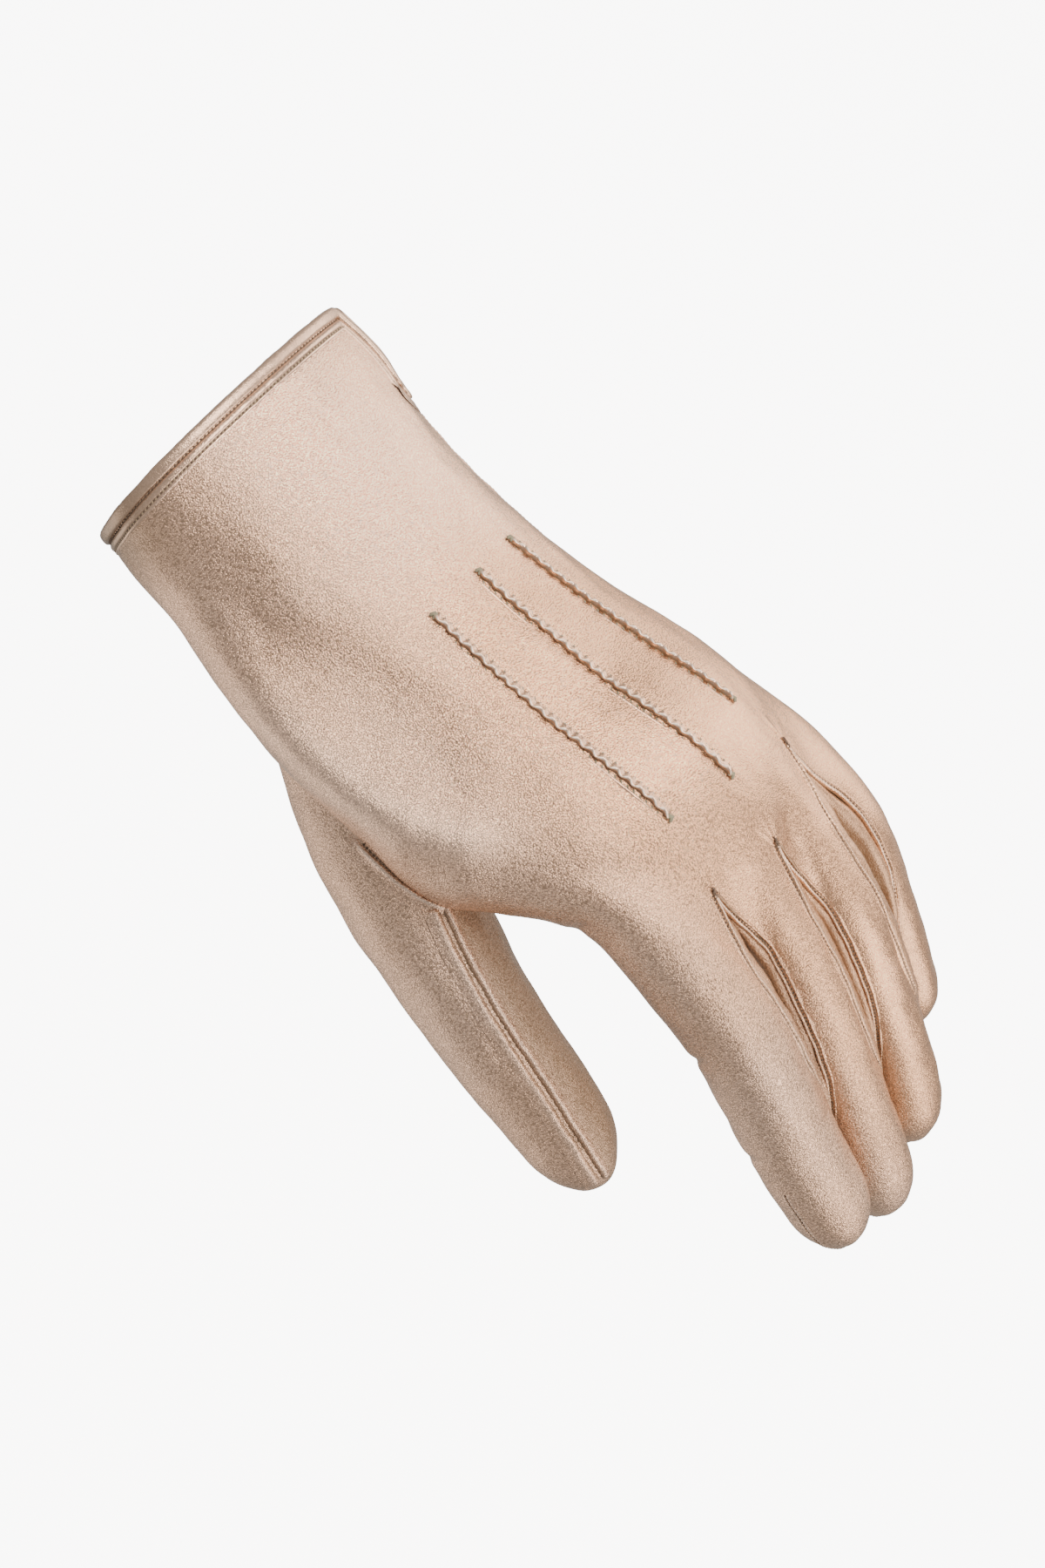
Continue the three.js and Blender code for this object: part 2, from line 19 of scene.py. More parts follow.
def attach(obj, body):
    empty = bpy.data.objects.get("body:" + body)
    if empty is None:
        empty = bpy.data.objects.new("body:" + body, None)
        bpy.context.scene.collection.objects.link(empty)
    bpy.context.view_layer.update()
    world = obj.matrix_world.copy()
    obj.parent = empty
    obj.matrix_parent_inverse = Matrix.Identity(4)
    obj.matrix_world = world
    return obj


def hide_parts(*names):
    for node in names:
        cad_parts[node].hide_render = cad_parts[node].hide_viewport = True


log = logging.getLogger("glove")
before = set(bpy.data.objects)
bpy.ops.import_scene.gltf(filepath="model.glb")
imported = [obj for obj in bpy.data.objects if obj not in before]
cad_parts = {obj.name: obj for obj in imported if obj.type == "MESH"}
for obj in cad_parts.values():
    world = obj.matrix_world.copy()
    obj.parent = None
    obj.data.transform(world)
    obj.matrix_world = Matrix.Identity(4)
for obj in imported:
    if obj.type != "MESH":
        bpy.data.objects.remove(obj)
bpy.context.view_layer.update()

Array = np.ndarray
METRES = 0.001
BODY = "root"
Span = tuple[float, float]
Triple = tuple[float, float, float]


# Arithmetic that several pieces share


def ramp(start: float, end: float, at: Array) -> Array:
    """Smooth step from 0 at start to 1 at end."""
    t = np.clip((np.asarray(at, float) - start) / (end - start), 0.0, 1.0)
    return t * t * (3.0 - 2.0 * t)


def bell(distance: Array, width: float) -> Array:
    """Bell curve of height 1, e to the minus (distance over width) squared."""
    return np.exp(-((np.asarray(distance, float) / width) ** 2))


def mix(a: Array, b: Array, part: Array) -> Array:
    """Straight blend from a to b."""
    return a + (b - a) * part


def power(value: Array, exponent: float) -> Array:
    """Power that keeps the sign."""
    return np.sign(value) * np.abs(value) ** exponent


def fading_ends(run: Array, reach: float) -> Array:
    """1 along a line, falling smoothly to 0 at both of its ends, as a column."""
    return (ramp(0.0, reach, run) * ramp(0.0, reach, run[-1] - run))[:, None]


def over_cap(start: float, height: float, rows: int) -> Array:
    """Places of the rows over a round cap: its height times the sine of even angles."""
    return start + height * np.sin(np.linspace(0, math.pi / 2, rows + 1)[1:])


def cap_width(at: Array, end: float, height: float) -> Array:
    """Share of the width over a round cap: root of 1 less the place past its start squared."""
    past = np.clip((at - end + height) / height, 0, 1)
    return np.sqrt(1.0 - past * past)


def unit(vectors: Array) -> Array:
    """Vectors scaled to length 1."""
    return vectors / np.maximum(np.linalg.norm(vectors, axis=-1, keepdims=True), 1e-9)


def dot(a: Array, b: Array) -> Array:
    """Dot product along the last axis, which is kept."""
    return (a * b).sum(-1, keepdims=True)


def waves(points: Array, wavelength: float, seed: int, count: int = 9) -> Array:
    """Soft irregular relief: sines of one wavelength in random directions, added.

    Args:
        points: Places, in millimetres.
        wavelength: Mean length of a wave.
        seed: Number that fixes the directions.
        count: How many sines are added.

    Returns:
        Heights of about -1 to 1, one for each place.
    """
    rng = np.random.default_rng(seed)
    directions = unit(rng.normal(size=(count, 3)))
    lengths = wavelength * rng.uniform(0.75, 1.35, count)
    phases = rng.uniform(0.0, 2.0 * math.pi, count)
    swing = np.sin(points @ (directions / lengths[:, None]).T * 2.0 * math.pi + phases)
    return swing.sum(-1) * math.sqrt(2.0 / count) / 1.6


def last_angle(
    low: Array, high: Array, passes: Callable[[Array], Array], halvings: int = 26
) -> Array:
    """Finds where a test stops passing between two angles, by halving.

    Args:
        low: Angles that pass.
        high: Angles that don't.
        passes: The test.
        halvings: How often the middle is tried.

    Returns:
        The last angles that pass.
    """
    for _ in range(halvings):
        middle = (low + high) / 2.0
        passed = passes(middle)
        low, high = np.where(passed, middle, low), np.where(passed, high, middle)
    return low


@dataclass(frozen=True)
class Table:
    """A short table with named columns, read by a smooth curve through its rows."""

    columns: tuple[str, ...]
    rows: tuple[tuple[float, ...], ...]

    def column(self, name: str) -> Array:
        """All values of one column."""
        return np.array([row[self.columns.index(name)] for row in self.rows], float)

    def at(self, name: str, x: Array) -> Array:
        """Value of a column at x, by cubic curves whose slopes are those of the neighbours.

        Args:
            name: The column.
            x: Places along the table's first column; past its ends the value is held.

        Returns:
            One value for each place.
        """
        keys, values = self.column(self.columns[0]), self.column(name)
        last = len(keys) - 1
        before = np.maximum(np.arange(last + 1) - 1, 0)
        after = np.minimum(np.arange(last + 1) + 1, last)
        slope = (values[after] - values[before]) / (keys[after] - keys[before])
        at = np.clip(x, keys[0], keys[-1])
        i = np.clip(np.searchsorted(keys, at, side="left") - 1, 0, last - 1)
        span = keys[i + 1] - keys[i]
        t = (at - keys[i]) / span
        t2, t3 = t * t, t * t * t
        return (
            (2 * t3 - 3 * t2 + 1) * values[i]
            + (t3 - 2 * t2 + t) * span * slope[i]
            + (3 * t2 - 2 * t3) * values[i + 1]
            + (t3 - t2) * span * slope[i + 1]
        )


# The form of the filled glove


HAND_SECTIONS = Table(
    ("x", "y", "z", "thumb_side", "little_side", "rise", "drop", "thumb_droop", "little_droop"),
    (
        (0, 0.5, 0, 36, 35.5, 22, 23, 0, 0),
        (12, 0, -0.5, 37.5, 36.5, 22, 23, 0, 0),
        (24, -1, -1, 37, 35.5, 22, 23, 0, 0),
        (42, -3, -2.5, 38, 36, 21.5, 23, 0, 0),
        (62, -3, -2.5, 40, 38.5, 20, 23, 2, 2),
        (82, -0.5, 0, 42, 39.5, 18.5, 23, 4.5, 4.5),
        (96, 2, 2.5, 45, 40, 17, 22, 6, 6),
        (106, 4, 4.5, 45.5, 40, 16.5, 20.5, 5.5, 7),
        (114, 5.5, 6, 42, 38.8, 16, 19, 4, 7.5),
        (122, 6.5, 6.5, 38.8, 37.8, 15.5, 17, 2, 8),
        (136, 8, 4.5, 34.5, 35.8, 14, 12.5, 0, 9),
        (150, 8.5, -1, 32, 34.5, 12, 6.5, 0, 8),
        (167, 8.5, -10, 30, 33, 11, 4, 0, 6),
    ),
)

DIVIDERS = Table(
    ("x", "side", "ring_little", "middle_ring", "index_middle", "fold")
    + ("palm_index_middle", "palm_middle_ring", "palm_ring_little"),
    (
        (0, 26, 50, 72, 94, 180, 236, 268, 300),
        (62, 12, 45, 72, 94, 180, 240, 270, 302),
        (120, -22, 44.5, 80, 106, 180, 245, 275, 308),
        (167, -34, 44, 84, 114, 180, 245, 275, 308),
    ),
)


@dataclass(frozen=True)
class Vent:
    """The open slit at the little-finger side of the cuff."""

    length: float = 26.0
    notch: float = 22.65
    tuck: float = 2.4
    open_at_hem: float = 1.6
    open_at_notch: float = 0.5

    @property
    def slit_end(self) -> float:
        """Where the wrap's own edge ends, under the binding."""
        return self.notch + self.tuck

    def opening(self, x: Array) -> Array:
        """Half width of the slit's clear opening."""
        return mix(self.open_at_hem, self.open_at_notch, np.asarray(x, float) / self.length)


@dataclass(frozen=True)
class HandForm:
    """The hand's skin: rounded-square sections whose sides droop, along the hand."""

    sections: Table = HAND_SECTIONS
    dividers: Table = DIVIDERS
    vent: Vent = Vent()
    squareness: float = 2.35

    def point(self, angle: Array, x: Array, inset: float = 0.0) -> Array:
        """Point on the skin.

        Across the section it is reach times cosine, upwards height times sine, both
        to the power 2 over the squareness, less the droop times across squared.

        Args:
            angle: Degrees: 0 little-finger side, 90 back, 180 thumb side, 270 palm.
            x: Distance from the cuff's edge.
            inset: How far the section is pulled in.

        Returns:
            Places, with x, y and z on the last axis.
        """
        angle, x = np.broadcast_arrays(np.asarray(angle, float), np.asarray(x, float))
        c, s = np.cos(np.radians(angle)), np.sin(np.radians(angle))
        exponent = 2.0 / self.squareness
        read = self.sections.at
        reach = np.where(c < 0, read("thumb_side", x), read("little_side", x)) - inset
        height = np.where(s < 0, read("drop", x), read("rise", x)) - inset
        droop = np.where(c < 0, read("thumb_droop", x), read("little_droop", x))
        across = power(c, exponent)
        y = read("y", x) + reach * across
        z = read("z", x) + height * power(s, exponent) - droop * across * across
        return np.stack([x, y, z], -1)

    def normal(self, angle: Array, x: Array) -> Array:
        """Outward direction of the skin: along the hand crossed with round it."""
        along = self.point(angle, np.asarray(x) + 1.0) - self.point(angle, np.asarray(x) - 1.0)
        around = self.point(np.asarray(angle) - 1.0, x) - self.point(np.asarray(angle) + 1.0, x)
        return unit(np.cross(along, around))

    def depth_inside(self, points: Array) -> Array:
        """How far points lie inside the skin: half of reach plus height, times 1 less the radius.

        The radius is the superellipse's own, 1 on the skin: across to the power of the
        squareness plus up to that power, and the root of that.

        Args:
            points: Places near the hand.

        Returns:
            Depths, less than 0 outside.
        """
        x, y, z = np.moveaxis(points, -1, 0)
        read = self.sections.at
        side = y - read("y", x)
        reach = np.where(side < 0, read("thumb_side", x), read("little_side", x))
        droop = np.where(side < 0, read("thumb_droop", x), read("little_droop", x))
        across = side / reach
        rise = z - read("z", x) + droop * np.clip(across * across, 0, 1)
        height = np.where(rise < 0, read("drop", x), read("rise", x))
        n = self.squareness
        size = (np.abs(across) ** n + np.abs(rise / height) ** n) ** (1.0 / n)
        return (1.0 - size) * 0.5 * (reach + height)

    def degrees_for(self, width: Array, angle: Array, x: Array) -> Array:
        """Degrees round the hand that cover a width along the leather."""
        chord = self.point(np.asarray(angle) + 1.0, x) - self.point(np.asarray(angle) - 1.0, x)
        return 2.0 * width / np.linalg.norm(chord, axis=-1)

    def divider(self, name: str, x: Array) -> Array:
        """Angle of a divider between strips; the side seam stands open along the slit.

        Args:
            name: A divider, or "side_under" for the side seam reached from below.
            x: Distance from the cuff's edge.

        Returns:
            Degrees round the hand.
        """
        under = name == "side_under"
        angle = self.dividers.at("side" if under else name, x)
        if name != "side" and not under:
            return angle
        set_back = self.degrees_for(self.vent.tuck + self.vent.opening(x), angle, x)
        set_back = np.where(np.asarray(x) > self.vent.slit_end + 0.01, 0.0, set_back)
        return angle + 360.0 - set_back if under else angle + set_back

    def angle_above(self, x: Array, y: Array) -> Array:
        """Angle at which the back of the hand lies above places along and across it."""
        ends = np.full(np.shape(x), 1.0), np.full(np.shape(x), 179.0)
        return last_angle(*ends, lambda angle: self.point(angle, x)[..., 1] > y)


@dataclass(frozen=True)
class Finger:
    """One finger: a tapering tube whose centre line bends at three joints."""

    name: str
    knuckle: Triple  # where the centre line starts
    length: float
    bends: Triple  # degrees down at its joints
    joints: Triple
    turn: float  # degrees towards the little-finger side
    roll: float  # degrees by which the back leans to that side
    wide: Span  # half width, at the knuckle and at the tip
    high: Span
    seams: Span  # degrees from the back to the seams, thumb side first
    cap: float = 13.0
    squareness: float = 2.25
    knuckle_pitch: float = 4.0
    bend_span: float = 26.0
    bend_tilt: float = 0.4  # share of the roll by which the plane of bending leans

    def pitch(self, s: Array) -> Array:
        """Radians below level of the centre line, rising smoothly over each joint.

        Args:
            s: Distances from the knuckle.

        Returns:
            One angle for each distance.
        """
        total = np.full(np.shape(s), self.knuckle_pitch, float)
        for bend, joint in zip(self.bends, self.joints):
            total = total + bend * ramp(joint - self.bend_span / 2, joint + self.bend_span / 2, s)
        return np.radians(total)

    def axes(self, s: Array) -> tuple[Array, Array, Array]:
        """Centre, little-finger side and back direction at distances from the knuckle.

        The centre line is the running sum of its direction, which turns in a plane
        that leans by a share of the finger's roll.

        Args:
            s: Distances from the knuckle.

        Returns:
            Centres, side directions and back directions.
        """
        turn = math.radians(self.turn)
        tilt = math.radians(self.roll * self.bend_tilt)
        roll = math.radians(self.roll * (1.0 - self.bend_tilt))
        level = np.array([math.cos(turn), math.sin(turn), 0.0])
        hinge = np.array([-math.sin(turn), math.cos(turn), 0.0]) * math.cos(tilt)
        hinge[2] = math.sin(tilt)
        top = np.cross(level, hinge)
        line = np.linspace(-60.0, self.length + 2.0, 800)
        pitch = self.pitch(line)[:, None]
        ahead = level * np.cos(pitch) - top * np.sin(pitch)
        step = line[1] - line[0]
        run = np.concatenate([np.zeros((1, 3)), np.cumsum((ahead[1:] + ahead[:-1]) / 2 * step, 0)])
        start = np.array([np.interp(0.0, line, run[:, k]) for k in range(3)])
        centre = np.stack([np.interp(s, line, run[:, k] - start[k]) for k in range(3)], -1)
        bend = self.pitch(s)[..., None]
        back = top * np.cos(bend) + level * np.sin(bend)
        side = hinge * math.cos(roll) + back * math.sin(roll)
        return centre + np.array(self.knuckle), side, back * math.cos(roll) - hinge * math.sin(roll)

    def point(self, angle: Array, s: Array) -> Array:
        """Point on the finger's skin: rounded-square sections, closed by a round cap.

        Across it is half width times cosine, upwards half height times sine, both to
        the power 2 over the squareness.

        Args:
            angle: Degrees: 0 little-finger side, 90 back, 180 thumb side, 270 palm.
            s: Distance from the knuckle.

        Returns:
            Places on the skin.
        """
        angle, s = np.broadcast_arrays(np.asarray(angle, float), np.asarray(s, float))
        centre, side, back = self.axes(s)
        part = np.clip(s / self.length, 0, 1)
        closing = cap_width(s, self.length, self.cap)
        c, n = np.cos(np.radians(angle)), np.sin(np.radians(angle))
        exponent = 2.0 / self.squareness
        across = mix(self.wide[0], self.wide[1], part) * power(c, exponent) * closing
        up = mix(self.high[0], self.high[1], part) * power(n, exponent) * closing
        return centre + side * across[..., None] + back * up[..., None]


INDEX = Finger(
    name="index", knuckle=(124, -17, 10), length=107.5, turn=3.5, roll=-8,
    bends=(17, 15, -4), joints=(8, 48, 77), wide=(12, 9), high=(11.5, 8.6), seams=(90, 34),
)
MIDDLE = Finger(
    name="middle", knuckle=(126, 10.5, 11), length=114, turn=-4.5, roll=0,
    bends=(22, 11, 3), joints=(6, 52, 84), wide=(8.4, 8), high=(9.4, 8.1), seams=(58, 39),
)
RING = Finger(
    name="ring", knuckle=(123, 26.5, 8.5), length=111.5, turn=-0.4, roll=-12,
    bends=(17, 17, 7), joints=(6, 48, 78), wide=(8.5, 7.9), high=(9.2, 8.1), seams=(63, 23),
)
LITTLE = Finger(
    name="little", knuckle=(114, 40, -1), length=98.6, turn=9.4, roll=-40,
    bends=(11, 23, 7), joints=(6, 43, 68), wide=(9.2, 7.6), high=(8.8, 7.2), seams=(50, 90),
)
FINGERS = (INDEX, MIDDLE, RING, LITTLE)


@dataclass(frozen=True)
class Cut:
    """Where neighbouring fingers part, and how their seams run out."""

    index_middle: float = 144.5
    middle_ring: float = 147.0
    ring_little: float = 134.0
    palm: float = 152.0
    blend: float = 20.0  # length over which the hand's skin becomes a finger's
    knuckle_lead: float = 16.0  # how much earlier that starts at a finger's middle
    seam_join: float = 21.0  # from the tip to where a finger's two seams have met
    seam_taper: float = 28.0
    palm_seam: float = 52.0  # degrees from the palm side's middle to its seams
    free_lead: float = 14.0  # how much earlier the two outer edges leave the hand

    def closing(self, finger: Finger, s: Array) -> Array:
        """How far a seam has closed onto the finger's side line, 0 to 1."""
        end = finger.length - self.seam_join
        return ramp(end - self.seam_taper, end, s)

    def crotches(self) -> tuple[tuple[Finger, Finger, float], ...]:
        """Neighbouring fingers, and where each pair parts on the back."""
        return (
            (INDEX, MIDDLE, self.index_middle),
            (MIDDLE, RING, self.middle_ring),
            (RING, LITTLE, self.ring_little),
        )


@dataclass(frozen=True)
class Strip:
    """A strip of the wrap: part of the hand that becomes the back or front of a finger."""

    finger: Finger
    under: bool  # whether it is the palm side
    start: str  # divider at its first edge
    end: str
    part_start: float  # where it parts from its neighbour there
    part_end: float
    hand: HandForm = HandForm()
    cut: Cut = Cut()

    @property
    def name(self) -> str:
        """Finger and face of the strip."""
        return f"{self.finger.name}_{'palm' if self.under else 'back'}"

    def edge_angle(self, edge: int, s: Array) -> Array:
        """Angle of one of the strip's edges on its finger, closing onto a side line.

        Args:
            edge: 0 for the first edge, 1 for the last.
            s: Distance from the knuckle.

        Returns:
            Degrees round the finger.
        """
        sign = 1.0 - 2.0 * edge
        closed = 180.0 * (self.under + 1 - edge)
        if not self.under:
            opened = 90.0 + sign * self.finger.seams[edge]
        elif self.finger is (LITTLE, INDEX)[edge]:
            opened = closed
        else:
            opened = 270.0 + sign * self.cut.palm_seam
        return mix(opened, closed, self.cut.closing(self.finger, s))

    def point(self, across: Array, x: Array) -> Array:
        """Point of the strip: the hand's skin blended into the finger's past the crotch.

        Args:
            across: Place across the strip, 0 to 1.
            x: Distance from the cuff's edge, and past the knuckle that of the knuckle
                plus the length along the finger.

        Returns:
            Places on the leather.
        """
        across, x = np.broadcast_arrays(np.asarray(across, float), np.asarray(x, float))
        s = x - self.finger.knuckle[0]
        swell = np.sin(math.pi * across)
        part = mix(self.part_start, self.part_end, across) - self.cut.knuckle_lead * swell
        span = self.cut.blend + 0.5 * self.cut.knuckle_lead * swell
        t = np.clip((x - part) / span, 0, 1)
        blend = (t * t * (3 - 2 * t))[..., None]
        hand_angle = mix(self.hand.divider(self.start, x), self.hand.divider(self.end, x), across)
        finger_angle = mix(self.edge_angle(0, s), self.edge_angle(1, s), across)
        return mix(self.hand.point(hand_angle, x), self.finger.point(finger_angle, s), blend)

    def edge_normal(self, edge: float, x: Array) -> Array:
        """Outward direction of the leather at one of the strip's edges."""
        along = self.point(edge, x + 0.5) - self.point(edge, x - 0.5)
        across = self.point(mix(0.08, 1.0, edge), x) - self.point(mix(0.0, 0.92, edge), x)
        return unit(np.cross(along, across))


def strips_of_wrap(cut: Cut = Cut()) -> list[Strip]:
    """The eight strips round the hand, from the thumb side over the back and back under.

    Args:
        cut: Where the fingers part.

    Returns:
        The strips, each starting at the divider where the one before it ends.
    """
    free = cut.ring_little - cut.free_lead
    palm = cut.palm
    return [
        Strip(INDEX, False, "fold", "index_middle", free, cut.index_middle),
        Strip(MIDDLE, False, "index_middle", "middle_ring", cut.index_middle, cut.middle_ring),
        Strip(RING, False, "middle_ring", "ring_little", cut.middle_ring, cut.ring_little),
        Strip(LITTLE, False, "ring_little", "side", cut.ring_little, free),
        Strip(LITTLE, True, "side_under", "palm_ring_little", free, palm),
        Strip(RING, True, "palm_ring_little", "palm_middle_ring", palm, palm),
        Strip(MIDDLE, True, "palm_middle_ring", "palm_index_middle", palm, palm),
        Strip(INDEX, True, "palm_index_middle", "fold", palm, free),
    ]


def strip_of(cut: Cut, finger: Finger, under: bool) -> Strip:
    """The wrap's strip on the back of a finger, or on its palm side where under."""
    return next(s for s in strips_of_wrap(cut) if s.finger is finger and s.under == under)


@dataclass(frozen=True)
class ThumbForm:
    """The set-in thumb: oval rings along a bent centre line, closed by a round cap."""

    sections: Table = Table(
        ("x", "y", "z", "wide", "deep"),
        (
            (46, -20, -12, 11, 10),
            (63, -24, -14, 15, 12),
            (84, -32, -17.5, 16.2, 14),
            (95, -35.5, -20, 15.4, 14),
            (105, -38.8, -22.5, 14.4, 13.6),
            (126, -42.8, -26.5, 12.6, 12.2),
            (148, -45, -30.5, 11.2, 11),
            (171.5, -47.6, -34.5, 9, 9),
        ),
    )
    cap: float = 13.0
    nail_side: Triple = (0.0, -0.5, 0.866)
    far_out: float = -9.0

    @property
    def start(self) -> float:
        """Where the thumb's leather begins, inside the hand."""
        return self.sections.rows[0][0]

    @property
    def end(self) -> float:
        """The thumb's tip."""
        return self.sections.rows[-1][0]

    def axes(self, x: Array) -> tuple[Array, Array, Array, Array]:
        """Centre, hand-side direction, nail-side direction and direction ahead.

        Args:
            x: Distance along the glove.

        Returns:
            Centres and the three directions.
        """
        x = np.asarray(x, float)

        def line(at: Array) -> Array:
            """The centre line."""
            return np.stack([at, self.sections.at("y", at), self.sections.at("z", at)], -1)

        ahead = unit(line(np.minimum(x + 1.0, self.end)) - line(x - 1.0))
        up = np.broadcast_to(np.array(self.nail_side), ahead.shape)
        up = unit(up - ahead * dot(up, ahead))
        return line(x), np.cross(up, ahead), up, ahead

    def point(self, angle: Array, x: Array) -> Array:
        """Point on the thumb: half width times cosine, half depth times sine.

        Args:
            angle: Degrees: 0 towards the hand, 90 towards the nail.
            x: Distance along the glove.

        Returns:
            Places on the thumb's leather.
        """
        angle, x = np.broadcast_arrays(np.radians(np.asarray(angle, float)), np.asarray(x, float))
        centre, side, up, _ = self.axes(x)
        closing = cap_width(x, self.end, self.cap)
        wide = self.sections.at("wide", x) * np.cos(angle) * closing
        deep = self.sections.at("deep", x) * np.sin(angle) * closing
        return centre + side * wide[..., None] + up * deep[..., None]

    def depth_inside(self, points: Array) -> Array:
        """How far points lie inside the thumb, found at the section square to its line.

        It is half of width plus depth, times 1 less the oval's own radius there.

        Args:
            points: Places near the thumb.

        Returns:
            Depths, less than 0 outside, and far outside past the thumb's two ends.
        """
        x = points[..., 0].copy()
        for _ in range(3):
            centre, side, up, ahead = self.axes(np.clip(x, self.start, self.end))
            x = np.clip(x, self.start, self.end) + dot(points - centre, ahead)[..., 0]
        at = np.clip(x, self.start, self.end)
        centre, side, up, _ = self.axes(at)
        away = points - centre
        wide, deep = self.sections.at("wide", at), self.sections.at("deep", at)
        size = np.hypot(dot(away, side)[..., 0] / wide, dot(away, up)[..., 0] / deep)
        depth = (1.0 - size) * 0.5 * (wide + deep)
        return np.where((x < self.start) | (x > self.end), np.minimum(depth, self.far_out), depth)


# Meshes from grids


@dataclass
class Patchwork:
    """Grids of points joined into one surface where their edges meet."""

    grids: list[Array] = field(default_factory=list)
    step: float = 0.004
    offset: float = 0.37137  # keeps the glove's planes off the borders of the cells

    def add(self, grid: Array) -> None:
        """Adds a grid, or a stack of grids, facing its row step crossed with its column step."""
        self.grids.append(np.asarray(grid, float))

    def joined(self) -> tuple[Array, Array, list[Array]]:
        """Merges equal points.

        Returns:
            Points, four-cornered faces, and for each grid the index of each of its points.
        """
        flat = np.concatenate([grid.reshape(-1, 3) for grid in self.grids])
        keys = np.floor(flat / self.step + self.offset).astype(np.int64)
        _, first, where = np.unique(keys, axis=0, return_index=True, return_inverse=True)
        where = where.reshape(-1)
        maps, faces, start = [], [], 0
        for grid in self.grids:
            count = grid.size // 3
            index = where[start : start + count].reshape(grid.shape[:-1])
            start += count
            maps.append(index)
            low, high = index[..., :-1], index[..., 1:]
            corners = (low[..., :-1, :], low[..., 1:, :], high[..., 1:, :], high[..., :-1, :])
            faces.append(np.stack(corners, -1).reshape(-1, 4))
        return flat[first], np.concatenate(faces), maps


def sound_faces(faces: Array) -> tuple[Array, Array]:
    """Splits four-cornered faces into true quads and the triangles of collapsed ones.

    Args:
        faces: Four corners a face.

    Returns:
        The quads and the triangles.
    """
    a, b, c, d = faces.T
    ab, bc, cd, da = a == b, b == c, c == d, d == a
    merged = ab.astype(int) + bc + cd + da
    crossed = (a == c) | (b == d)
    quads = faces[(merged == 0) & ~crossed]
    one = (merged == 1) & ~crossed
    triangles = np.where(
        (ab | bc)[:, None], np.stack([a, np.where(ab, c, b), d], -1), np.stack([a, b, c], -1)
    )
    return quads, triangles[one]


def normals_of(points: Array, faces: Array) -> Array:
    """Outward direction at each point: the sum of its faces' diagonals, crossed.

    Args:
        points: Places of the corners.
        faces: Four corners a face.

    Returns:
        A direction for each point.
    """
    total = np.zeros_like(points)
    a, b, c, d = (points[faces[:, k]] for k in range(4))
    area = np.cross(c - a, d - b)
    for k in range(4):
        np.add.at(total, faces[:, k], area)
    return unit(total)


def placed(name: str, data: bpy.types.ID) -> bpy.types.Object:
    """A new object in the scene."""
    thing = bpy.data.objects.new(name, data)
    bpy.context.scene.collection.objects.link(thing)
    return thing


def make_piece(
    name: str,
    points: Array,
    faces: Array,
    material: bpy.types.Material,
    nodes: tuple[str, ...] = (),
    tone: Array | None = None,
) -> bpy.types.Object:
    """Makes a piece of the glove from points in millimetres.

    Args:
        name: The piece's name.
        points: Places of the corners.
        faces: Four corners a face; repeated corners make triangles.
        material: The finish.
        nodes: The solids that the piece stands for.
        tone: Painted light of each corner, from -1 for the deepest painted shade to 1 for the brightest
            painted highlight.

    Returns:
        The new object, at the origin.
    """
    quads, triangles = sound_faces(faces)
    used = np.unique(np.concatenate([quads.ravel(), triangles.ravel()]))
    renumber = np.zeros(len(points), np.int64)
    renumber[used] = np.arange(len(used))
    loops = renumber[np.concatenate([quads.ravel(), triangles.ravel()])]
    totals = np.concatenate([np.full(len(quads), 4), np.full(len(triangles), 3)])
    mesh = bpy.data.meshes.new(name)
    mesh.vertices.add(len(used))
    mesh.vertices.foreach_set("co", (points[used] * METRES).astype(np.float32).ravel())
    mesh.loops.add(len(loops))
    mesh.loops.foreach_set("vertex_index", loops.astype(np.int32))
    mesh.polygons.add(len(totals))
    starts = np.concatenate([[0], np.cumsum(totals)[:-1]])
    mesh.polygons.foreach_set("loop_start", starts.astype(np.int32))
    mesh.polygons.foreach_set("loop_total", totals.astype(np.int32))
    mesh.polygons.foreach_set("use_smooth", np.ones(len(totals), bool))
    mesh.update(calc_edges=True)
    mesh.validate()
    if tone is not None:
        values = mesh.attributes.new("tone", "FLOAT", "POINT")
        values.data.foreach_set("value", tone[used].astype(np.float32))
    mesh.materials.append(material)
    piece = placed(name, mesh)
    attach(piece, BODY)
    if nodes:
        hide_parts(*nodes)
    return piece


def patch_piece(
    name: str,
    grids: list[Array],
    material: bpy.types.Material,
    nodes: tuple[str, ...] = (),
    painted_lights: list[Array] | None = None,
) -> bpy.types.Object:
    """Joins grids and makes a piece of them.

    Args:
        name, material, nodes: As make_piece has them.
        grids: The piece's surfaces.
        painted_lights: Painted light of each grid.

    Returns:
        The new object, at the origin.
    """
    work = Patchwork()
    for grid in grids:
        work.add(grid)
    points, faces, maps = work.joined()
    tone = None
    if painted_lights is not None:
        tone = np.zeros(len(points))
        for where, values in zip(maps, painted_lights):
            tone[where] = np.broadcast_to(values, where.shape)
    return make_piece(name, points, faces, material, nodes, tone)


def line_frames(points: Array, ups: Array, closed: bool = False) -> tuple[Array, Array, Array]:
    """Directions ahead, aside and up along a line of points.

    Args:
        points: The line.
        ups: Upward direction at each point, square to the line or nearly.
        closed: Whether the line ends where it starts.

    Returns:
        The three directions, square to each other.
    """
    if closed:
        ahead = np.roll(points, -1, 0) - np.roll(points, 1, 0)
    else:
        ahead = np.gradient(points, axis=0)
    ahead = unit(ahead)
    aside = unit(np.cross(ups, ahead))
    return ahead, aside, unit(np.cross(ahead, aside))


